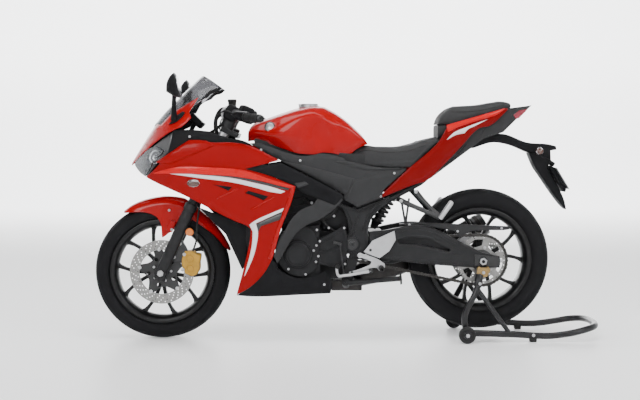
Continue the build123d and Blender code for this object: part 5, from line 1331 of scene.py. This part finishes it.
plate("chainCoverTop", [(-221, 503), (-302, 506), (-548, 496), (-704, 489), (-704, 486), (-548, 493),
        (-302, 503), (-221, 500)], 90, darkPlastic, half=12, round=0.8)
bolts("guardScrews", [(-262, 107.6, 499), (-470, 107.6, 470), (-660, 107.6, 483)], 5, 3)

footShape = [(-43, 381), (-58, 378), (-121, 356), (-153, 335), (-155, 320), (-136, 315), (-104, 318),
             (-48, 298), (-4, 291), (0, 300), (-48, 313), (-92, 332), (-97, 344), (-68, 356), (-41, 364),
             (-37, 372)]
heelShape = [(-63, 386), (-101, 434), (-194, 476), (-200, 437), (-172, 389), (-131, 359), (-100, 370)]
for side, tag in bothSides:
    plate("footPlate" + tag, footShape, side * 144.5, silverAlloy, half=5, round=2, smoothStep=6,
          hides=leftOnly(side, "footrests"))
    turned("footBoss" + tag, [(0.1, 146), (11, 146), (11, 151), (8, 152), (6, 150.5), (0.1, 150.5)],
           (-48, 0, 371), (0, side, 0), silverAlloy, around=28)
    plate("heelPlate" + tag, heelShape, side * 147.6, silverAlloy, half=1.9, round=0.8)
    turned("pegStub" + tag, [(0.1, 146), (15, 146), (15, 158), (12, 162), (12, 168), (0.1, 168)],
           (-136, 0, 320), (0, side, 0), silverAlloy, around=32)
    pegProfile = [(5, 166), (11, 166)]
    for k in range(8):
        at = 168 + k * 8
        pegProfile += [(11.5, at), (11.5, at + 5), (9.8, at + 5.6), (9.8, at + 7.4)]
    pegProfile += [(11.5, 232), (10, 235), (5, 235)]
    turned("peg" + tag, pegProfile, (-136, 0, 320), (0, side, 0), blackRubber, around=28, angle=45)
    bolts("footBolts" + tag, [(-14, side * 149, 298), (-92, side * 149, 394)], 6, 4, material=satinBlack,
          way=(0, side, 0))
    turned("pillionPeg" + tag, [(0.1, 0), (10, 0), (11.5, 4), (11.5, 80), (9, 88), (4, 90), (0.1, 90)],
           (-386, side * 166, 528), (-0.56, side * 0.05, 0.82), silverAlloy, around=24)
    for k, (start, end) in enumerate((((-226, 94, 602), (-386, 158, 534)),
            ((-290, 90, 640), (-386, 158, 534)))):
        a0, a1 = np.array(start) * [1, side, 1], np.array(end) * [1, side, 1]
        bar(f"pillionArm{tag}{k}", [a0, (a0 + a1) / 2 + [0, side * 3, -2], a1], 10.5, satinBlack, flat=0.75,
            taper=[1.2, 0.9, 0.85, 1.15])
    bolts("pillionBolts" + tag, [(-226, side * 105, 601), (-290, side * 101, 640)], 8, 6, way=(0, side, 0))
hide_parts("pillion_brackets")
bar("shiftArm", [(-96, 158, 306), (-40, 161, 296), (20, 165, 287), (44, 166, 286), (52, 170, 306),
                 (52, 172, 326)], 6.2, silverAlloy, hides=("pedals",), taper=[1.3, 1, 1, 1, 1, 1])
turned("shiftPad", [(0.1, 0), (8.5, 0), (9, 2), (9, 38), (7.5, 42), (0.1, 42)], (51, 168, 328), (0, 1, 0),
       blackRubber, around=24)
bar("shiftRod", [(22, 158, 292), (38, 158, 420)], 3.0, satinBlack, smoothPath=False)
tankUnder = [(404, 862), (398, 834), (350, 812), (230, 770), (110, 768), (20, 750), (-70, 740), (-70, 800),
             (20, 806), (110, 816), (230, 818), (350, 856), (396, 868)]
plate("tankFiller", tankUnder, 106, darkPlastic, half=2, round=0.5, smoothStep=12)
plate("tankFillerRight", tankUnder, -106, darkPlastic, half=2, round=0.5, smoothStep=12)
bar("shiftCrank", [(38, 154, 420), (50, 154, 424), (66, 152, 428)], 6, satinBlack,
    flat=0.7)
for at in ((22, 158, 292), (38, 158, 420)):
    superBox(f"rodEye{at[2]}", at, (7, 6, 7), satinBlack, power=0.8)
turned("shiftPivot", [(0.1, 0), (10, 0), (10, 14), (8, 17), (0.1, 17)], (-92, 149, 306), (0, 1, 0),
       satinBlack, around=28)
bar("brakeArm", [(-96, -158, 306), (-40, -161, 296), (20, -165, 287), (44, -190, 290), (44, -206, 292)], 6.4,
    silverAlloy, taper=[1.3, 1, 1, 1.1, 1.5])
turned("brakePivot", [(0.1, 0), (10, 0), (10, 14), (8, 17), (0.1, 17)], (-92, -149, 306), (0, -1, 0),
       satinBlack, around=28)
for side, tag in bothSides:
    for name, pad, rows in (("riderSeam", riderSeat, riderRows[1:-1]), ("pillionSeam", pillionSeat,
            pillionRows[3:-1])):
        seam(name + tag, pad, [(x, side * (ring[2][0] + 2), ring[2][1] + 1) for x, ring in rows])
seam("riderCross", riderSeat, [(-300, y, 870) for y in np.linspace(-112, 112, 15)])
print("drive and feet")


# engine, intake, exhaust and shock
for name, x, z, radius, side in (("generatorCover", 217, 376, 55, 1), ("clutchCover", 120, 372, 84, -1)):
    profile = [(0.1, 150), (radius - 30, 150), (radius - 28, 147), (radius - 14, 146), (radius - 5, 140),
               (radius, 132), (radius + 4, 122), (radius + 4, 112), (0.1, 112)]
    if side > 0:
        profile = [(0.1, 166), (radius - 13, 166), (radius - 12, 168.5), (radius - 8, 168.5),
                   (radius - 7, 166), (radius - 2, 164), (radius + 1, 160), (radius + 2, 150),
                   (radius + 8, 148), (radius + 8, 118), (0.1, 118)]
    turned(name, profile, (x, 0, z), (0, side, 0), engineBlack, around=72,
           hides=leftOnly(side, "engine_covers"))
turned("pumpCover", [(0.1, 142), (26, 142), (30, 139), (34, 132), (54, 128), (60, 120), (60, 112),
        (0.1, 112)], (235, 0, 372), (0, -1, 0), engineBlack, around=56)
caseCover = [(284, 452), (300, 412), (304, 350), (280, 312), (240, 284), (196, 278), (150, 300), (136, 330),
             (134, 440), (150, 480), (196, 500), (240, 486)]
plate("caseCover", caseCover, 137, engineBlack, half=7, round=3, smoothStep=8)
plate("sprocketCoverPlate", [(131, 334), (70, 322), (18, 326), (8, 368), (4, 436), (18, 500), (60, 474),
        (131, 440)], 134, engineBlack, half=6.5, round=3, smoothStep=8)
plate("sprocketCoverRise", [(122, 420), (58, 458), (30, 476), (20, 440), (60, 400), (122, 392)], 141,
      engineBlack, half=2.6, round=1.8, smoothStep=6)
plate("sprocketCoverStep", [(120, 380), (56, 388), (22, 420), (20, 372), (30, 340), (90, 334), (120, 346)],
      140.6, engineBlack, half=2.2, round=1.6, smoothStep=6)
plate("cylinderFace", [(128, 512), (172, 672), (292, 652), (294, 566), (276, 476)], 88.5, engineBlack, half=3,
      round=1.5, smoothStep=8)
for k in range(5):
    t = k / 4
    bar(f"cylinderRib{k}", [(142 + 34 * t, 92, 540 + 112 * t), (284 + 8 * t, 92, 500 + 130 * t)], 3.2,
        engineBlack, smoothPath=False)
superBox("headCover", (240, 0, 692), (70, 92, 22), engineBlack, axes=leaning(0.985, -0.17), power=0.35)
bolts("engineBolts", [(136, 144, 480), (138, 144, 414), (150, 144.5, 392), (130, 144, 368), (140, 144, 344),
        (257, 144, 313), (184, 144, 290), (290, 144, 430), (296, 144, 360), (20, 141, 488), (124, 141, 432),
        (16, 141, 334)], 5.2, 5)
for side, tag in bothSides:
    turned("throttle" + tag, [(0.1, -44), (27, -44), (29, -40), (29, -20), (25, -16), (25, 20), (29, 24),
            (29, 44), (0.1, 44)], (92, side * 52, 566), (0.8, 0, -0.6), engineBlack, around=36)
    superBox("throttleMotor" + tag, (96, side * 92, 572), (24, 18, 20), deepPlastic, axes=leaning(0.8, -0.6),
             power=0.35)
    bar("coolantHose" + tag, [(300, side * 84, 640), (340, side * 96, 622), (384, side * 104, 560),
            (404, side * 100, 500)], 13, blackRubber)
    bar("lowHose" + tag, [(120, side * 96, 520), (80, side * 104, 540), (40, side * 100, 590),
            (10, side * 96, 640)], 9, blackRubber)
    bar("wireLoom" + tag, [(190, side * 100, 610), (130, side * 112, 560), (96, side * 108, 500),
            (60, side * 104, 470)], 6, blackRubber)
    superBox("fuelRail" + tag, (150, side * 70, 610), (34, 26, 18), engineBlack, axes=leaning(0.9, 0.4),
             power=0.4)
superBox("airDuct", (40, 0, 610), (60, 84, 34), deepPlastic, axes=leaning(0.9, -0.4), power=0.4)
bolts("frameBolts", [(62, 108, 537), (158, 112, 594), (85, 112, 486)], 6, 7)

pivotPlate = np.array([(34, 590), (-39, 564), (-149, 604), (-172, 616), (-166, 596), (-133, 566), (-97, 527),
        (-82, 478), (-84, 433), (-64, 354), (-4, 354), (-6, 376), (12, 402), (12, 434), (-4, 466), (2, 519)],
        float)
borderHole = insetOutline(smoothOutline(pivotPlate, 10), 9)
for side, tag in bothSides:
    plate("pivotRim" + tag, pivotPlate, side * 128.2, frameBlack, holes=[borderHole[::-1]], half=2.6, round=2,
          smoothStep=10)
    for k, route in enumerate(([(-20, 452), (-30, 500), (-44, 548)], [(-60, 470), (-84, 540), (-118, 584)])):
        bar(f"pivotRib{tag}{k}", [(x, side * 127, z) for x, z in route], 5.5, frameBlack, flat=0.7)
    turned("pivotBoss" + tag, [(20, 0), (30, 0), (32, 2), (32, 6), (29, 9), (24, 9), (22, 6), (20, 6)],
           (-15, side * 127.5, 417), (0, side, 0), frameBlack, around=44)
shockFoot, shockHead = np.array([-118, 0, 490.0]), np.array([-196, 0, 626.0])
shockWay = (shockHead - shockFoot) / np.linalg.norm(shockHead - shockFoot)
coilSide = np.array([0, 1.0, 0])
coilUp = np.cross(shockWay, coilSide)
turn = np.linspace(0, 2 * pi * 5.2, 170)
coil = (shockFoot + shockWay * (30 + 108 * turn[:, None] / turn[-1])
        + (coilSide * np.cos(turn)[:, None] + coilUp * np.sin(turn)[:, None]) * 24)
bar("spring", coil, 6.2, satinBlack, smoothPath=False, around=12,
    hides=("shock_absorber",))
turned("damper", [(0.1, -14), (14, -14), (16, 0), (20, 12), (28, 20), (28, 25), (18, 28), (15, 40), (15, 84),
                  (8, 88), (8, 136), (28, 138), (28, 143), (20, 148), (14, 158), (0.1, 158)], shockFoot,
       shockWay, satinBlack, around=40)
for k, y in enumerate((-34, 34)):
    bar(f"linkage{k}", [(-100, y, 372), (-150, y, 338), (-230, y, 346), (-262, y, 372)], 13, frameBlack,
        flat=0.6)
superBox("linkBlock", (-150, 0, 350), (44, 52, 22), frameBlack, axes=leaning(1, -0.1), power=0.4)
superBox("pipeChamber", (-150, -70, 292), (128, 62, 44), pipeSteel, axes=leaning(1, -0.18), power=0.5)
for k, (top, y) in enumerate((((-228, 604), 92), ((-262, 612), 92))):
    bar(f"guideLink{k}", [(top[0], y, top[1]), (-247, y, 499)], 5, satinBlack,
        smoothPath=False)
superBox("gearboxTop", (52, 0, 528), (78, 92, 66), engineBlack, power=0.4)
superBox("coverBacking", (10, 0, 606), (40, 118, 40), deepPlastic, axes=leaning(0.9, -0.4), power=0.4)
for y in (-44, 44):
    for k, radius in ((0, 23), (1, 20)):
        turned(f"pipeFlange{y}{k}", [(16.9, 0), (radius + 4, 0), (radius + 4, 8), (16.9, 8)],
               (300 + 10 * k, y, 588 - 5 * k), (0.87, 0, -0.48), silverAlloy if k else pipeSteel,
               around=32)
mufflerStart, mufflerEnd = np.array([-300, -196, 300.0]), np.array([-640, -222, 480.0])
mufflerWay = (mufflerEnd - mufflerStart) / np.linalg.norm(mufflerEnd - mufflerStart)
mufflerLength = np.linalg.norm(mufflerEnd - mufflerStart)
for at, name in ((26, "mufflerBandFront"), (mufflerLength - 30, "mufflerBandRear")):
    turned(name, [(52, at - 9), (54.5, at - 8), (54.5, at + 8), (52, at + 9)], mufflerStart, mufflerWay,
           pipeSteel, around=64)
turned("mufflerShield", [(52.2, 44), (53.6, 46), (53.6, mufflerLength - 52), (52.2, mufflerLength - 50)],
       mufflerStart, mufflerWay, deepPlastic, around=64)
superBox("collectorBox", (4, -10, 232), (63, 74, 21), pipeSteel, power=0.25)
print("engine and frame")


# lamps, tail and plate
for side, tag in bothSides:
    superBox("frontSignal" + tag, (655, side * 211, 680), (25, 12, 10), smokeLens,
             axes=((1, side * 0.03, 0), (0, 1, 0), (0, 0, 1)), power=0.75,
             hides=leftOnly(side, "turn_signals"))
    turned("rearSignal" + tag, [(0.1, 0), (12, 0), (15, 5), (15.5, 20), (15.5, 34), (13, 40), (7, 43),
            (0.1, 44)], (-825, side * 66, 814), (0, side, 0), smokeLens, around=36)
    turned("signalStem" + tag, [(0.1, 30), (8, 30), (7, 50), (6.5, 60), (9, 66), (15.6, 68), (15.6, 72),
            (0.1, 72)], (-825, 0, 814), (0, side, 0), deepPlastic, around=30)
plate("tailLens", [(-728, 957), (-766, 989), (-771, 993), (-742, 984), (-722, 969)], 0, redLens, half=42,
      round=3, hides=("tail_light",))
sideLens = [(-714, 970), (-739, 989), (-775, 996), (-768, 985), (-739, 956), (-725, 953)]
for side, tag in bothSides:
    plate("sideLens" + tag, sideLens, side * 66.5, redLens, half=2.0, round=1.2)
    plate("tailFlank" + tag, [(-560, 852), (-590, 874), (-668, 900), (-716, 948), (-700, 985), (-640, 975),
            (-600, 930)], side * 67, darkPlastic, half=1.6, round=1.2, smoothStep=8)
plate("plateArm", [(-547, 826), (-540, 846), (-590, 880), (-640, 887), (-679, 889), (-783, 852), (-877, 844),
                   (-911, 835), (-913, 820), (-887, 816), (-889, 778), (-877, 771), (-783, 811), (-708, 841),
                   (-632, 851)], 0, deepPlastic, half=32, round=6, smoothStep=10, hides=("plate_holder",))
plate("plateFlap", [(-877, 780), (-832, 800), (-790, 806), (-818, 742), (-836, 716), (-946, 568), (-958, 558),
                    (-948, 600), (-874, 745), (-889, 776)], 0, deepPlastic, half=38, round=7, smoothStep=10)
plate("plateBacking", [(-874, 752), (-898, 744), (-952, 652), (-946, 636), (-884, 728)], 0, deepPlastic,
      half=60, round=3)
plateUp = -np.array(Vector((-56, 0, -92)).normalized())
plateFace = np.array([-0.854, 0, 0.52])
outlineFlat = smoothOutline([(-88, -54), (88, -54), (88, 54), (-88, 54)], 8, 30)
outlineFlat = np.array([(np.sign(u) * min(abs(u), 88), np.sign(v) * min(abs(v), 54)) for u, v in outlineFlat])
centre = np.array([-928.5, 0, 696.0])
layers = []
for lift, scale in ((-1.0, 1.0), (0.8, 1.0), (1.6, 0.985), (1.6, 0.93), (0.9, 0.915), (0.9, 0.02)):
    layers.append(centre + plateFace * lift + np.array([0, 1.0, 0]) * outlineFlat[:, :1] * scale
                  + plateUp * outlineFlat[:, 1:] * scale)
m = len(outlineFlat)
plateFaces = gridFaces(len(layers), m, False, True).tolist()
plateFaces += [list(range(m))[::-1], list(range(5 * m, 6 * m))]
number = piece("numberPlate", np.vstack(layers), plateFaces, plateMetal, hides=("license_plate",))
sharpen(number, 25)
bolts("plateBolts", [centre + plateFace * 1.5 + plateUp * 38 + np.array([0, y, 0]) for y in (-34, 34)], 5.5,
      3, way=tuple(plateFace))
superBox("plateLamp", (-892, 0, 762), (18, 24, 10), deepPlastic, axes=leaning(0.8, 0.5), power=0.4)
for side, tag in bothSides:
    bolts("panelBolts" + tag, [(105, side * 186, 658), (-194, side * 136, 721), (207, side * 157, 775),
            (105, side * 158, 248), (372, side * 164, 820), (669, side * 198, 876), (-137, side * 133, 622)],
          5.2, 3.2, way=(0, side, 0))
print("lamps and tail")


# paddock stand
for side, tag in bothSides:
    roller = "roller_left" if side > 0 else "roller_right"
    turned("rollerTyre" + tag, [(20, -13.4), (31, -13.4), (35, -11), (36, -7), (36, 7), (35, 11), (31, 13.4),
            (20, 13.4)], (-500, side * 205, 36), (0, 1, 0), blackRubber, body=roller, around=64,
           hides=(roller,))
    turned("rollerHub" + tag, [(9.3, -14), (14, -14), (15, -10), (17, -9), (20.2, -11), (20.2, 11), (17, 9),
            (15, 10), (14, 14), (9.3, 14)], (-500, side * 205, 36), (0, 1, 0), satinBlack, body=roller,
           around=40)
    turned("rollerNut" + tag, [(0.1, 0), (9, 0), (9, 6), (7.5, 8), (0.1, 8)], (-500, side * 219.4, 36),
           (0, side, 0), silverAlloy, around=6, angle=20)
    plate("hookPlate" + tag, [(-604, 306), (-601, 316), (-594, 324), (-586, 318), (-564, 318), (-556, 324),
            (-548, 316), (-546, 290), (-560, 275), (-590, 279)], side * 150, brass,
          holes=[circle(-574, 297, 5, 16)], half=12, round=2.5, smoothStep=5,
          hides=leftOnly(side, "stand_hooks"))
    bolts("hookBolts" + tag, [(-574, side * 162, 297), (-556, side * 180, 252)], 7, 6, way=(0, side, 0))
    turned("socket" + tag, [(0.1, -26), (16, -26), (17, -24), (17, 24), (16, 26), (0.1, 26)],
           (-553, side * 161, 262), (-0.19, -side * 0.27, 0.94), standPaint, around=36)
    superBox("standFoot" + tag, (-787, side * 168, 11.2), (15, 14, 11), blackRubber, power=0.3)
    bolts("standBolt" + tag, [(-787, side * 181, 30)], 7, 4, way=(0, side, 0))
    bar("standArm" + tag, [(-500, side * 168, 40), (-492, side * 176, 104), (-546, side * 170, 232),
            (-560, side * 150, 290)], 13, standPaint, hides=leftOnly(side, "paddock_stand"))
    bar("standBrace" + tag, [(-549, side * 168, 226), (-690, side * 168, 33)], 10, standPaint,
        smoothPath=False)
    turned("standStub" + tag, [(0.1, 160), (9, 160), (9, 222), (0.1, 222)], (-500, 0, 36), (0, side, 0),
           standPaint, around=28)
railHalf = [(-500, 168, 40), (-700, 168, 33), (-880, 168, 27), (-960, 166, 38), (-1020, 152, 50),
            (-1062, 118, 57), (-1080, 62, 60), (-1083, 0, 60)]
rail = np.array(railHalf + [(x, -y, z) for x, y, z in railHalf[-2::-1]], float)
bar("standRail", rail, 14, standPaint, samples=8, around=28)
print("stand")


# stage, light and camera
def stageObject(name, points, faces, material):
    mesh = bpy.data.meshes.new(name)
    mesh.from_pydata(points, [], faces)
    mesh.polygons.foreach_set("use_smooth", np.full(len(mesh.polygons), True))
    mesh.materials.append(material)
    obj = bpy.data.objects.new(name, mesh)
    bpy.context.scene.collection.objects.link(obj)
    return obj


floorMaterial = bpy.data.materials.new("paleFloor")
floorMaterial.use_nodes = True
floorShader = floorMaterial.node_tree.nodes["Principled BSDF"]
floorShader.inputs["Base Color"].default_value = (0.93, 0.935, 0.94, 1)
floorShader.inputs["Roughness"].default_value = 0.45
floorShader.inputs["Emission Color"].default_value = (1, 1, 1, 1)
floorShader.inputs["Emission Strength"].default_value = 0.17
arc = [(r, 0.0) for r in np.linspace(0.05, 11, 24)]
arc += [(11 + 3 * sin(a), 3 - 3 * cos(a)) for a in np.linspace(0, pi / 2, 24)[1:]]
arc += [(14.0, z) for z in np.linspace(3, 10, 8)[1:]]
roundTurn = np.linspace(0, 2 * pi, 96, endpoint=False)
floorPoints = [(r * cos(a), r * sin(a), z) for r, z in arc for a in roundTurn]
floorFaces = gridFaces(len(arc), 96, False, True).tolist() + [list(range(96))]
stageObject("studioFloor", floorPoints, floorFaces, floorMaterial)

world = bpy.data.worlds.new("studioWorld")
bpy.context.scene.world = world
world.use_nodes = True
world.node_tree.nodes["Background"].inputs["Color"].default_value = (1, 1, 1, 1)
world.node_tree.nodes["Background"].inputs["Strength"].default_value = 0.26
# name, place, aim, size, power
lights = [
    ("overhead", (0.2, 0.4, 3.6), (0, 0, 0.4), (4.2, 1.6), 120),
    ("frontSoft", (2.2, 4.4, 3.0), (0.2, 0, 0.5), (2.2, 1.4), 90),
    ("tailSoft", (-3.0, 3.2, 2.8), (-0.3, 0, 0.6), (1.6, 1.6), 60),
    ("washBack", (0.0, -8.0, 6.0), (0, -14.0, 1.2), (12.0, 1.6), 2300),
    ("washFront", (0.0, 8.0, 6.0), (0, 14.0, 1.2), (12.0, 1.6), 220),
    ("washNose", (8.0, 0.0, 6.0), (14.0, 0, 1.2), (1.6, 12.0), 260),
    ("washTail", (-8.0, 0.0, 6.0), (-14.0, 0, 1.2), (1.6, 12.0), 260),
]
for name, place, aim, size, power in lights:
    lamp = bpy.data.lights.new(name, "AREA")
    lamp.shape = "RECTANGLE"
    lamp.size, lamp.size_y = size
    lamp.energy = power
    obj = bpy.data.objects.new(name, lamp)
    obj.location = place
    obj.rotation_euler = (Vector(aim) - Vector(place)).to_track_quat("-Z", "Y").to_euler()
    bpy.context.scene.collection.objects.link(obj)

cameraData = bpy.data.cameras.new("camera")
cameraData.lens = 64.4
cameraData.sensor_width = 36.0
camera = bpy.data.objects.new("camera", cameraData)
camera.location = (0.250, 5.0, 0.862)
look = Vector((-sin(radians(1.5)) * cos(radians(3.0)), -cos(radians(1.5)) * cos(radians(3.0)),
               -sin(radians(3.0))))
camera.rotation_euler = look.to_track_quat("-Z", "Y").to_euler()
bpy.context.scene.collection.objects.link(camera)
bpy.context.scene.camera = camera
print("stage, light and camera")
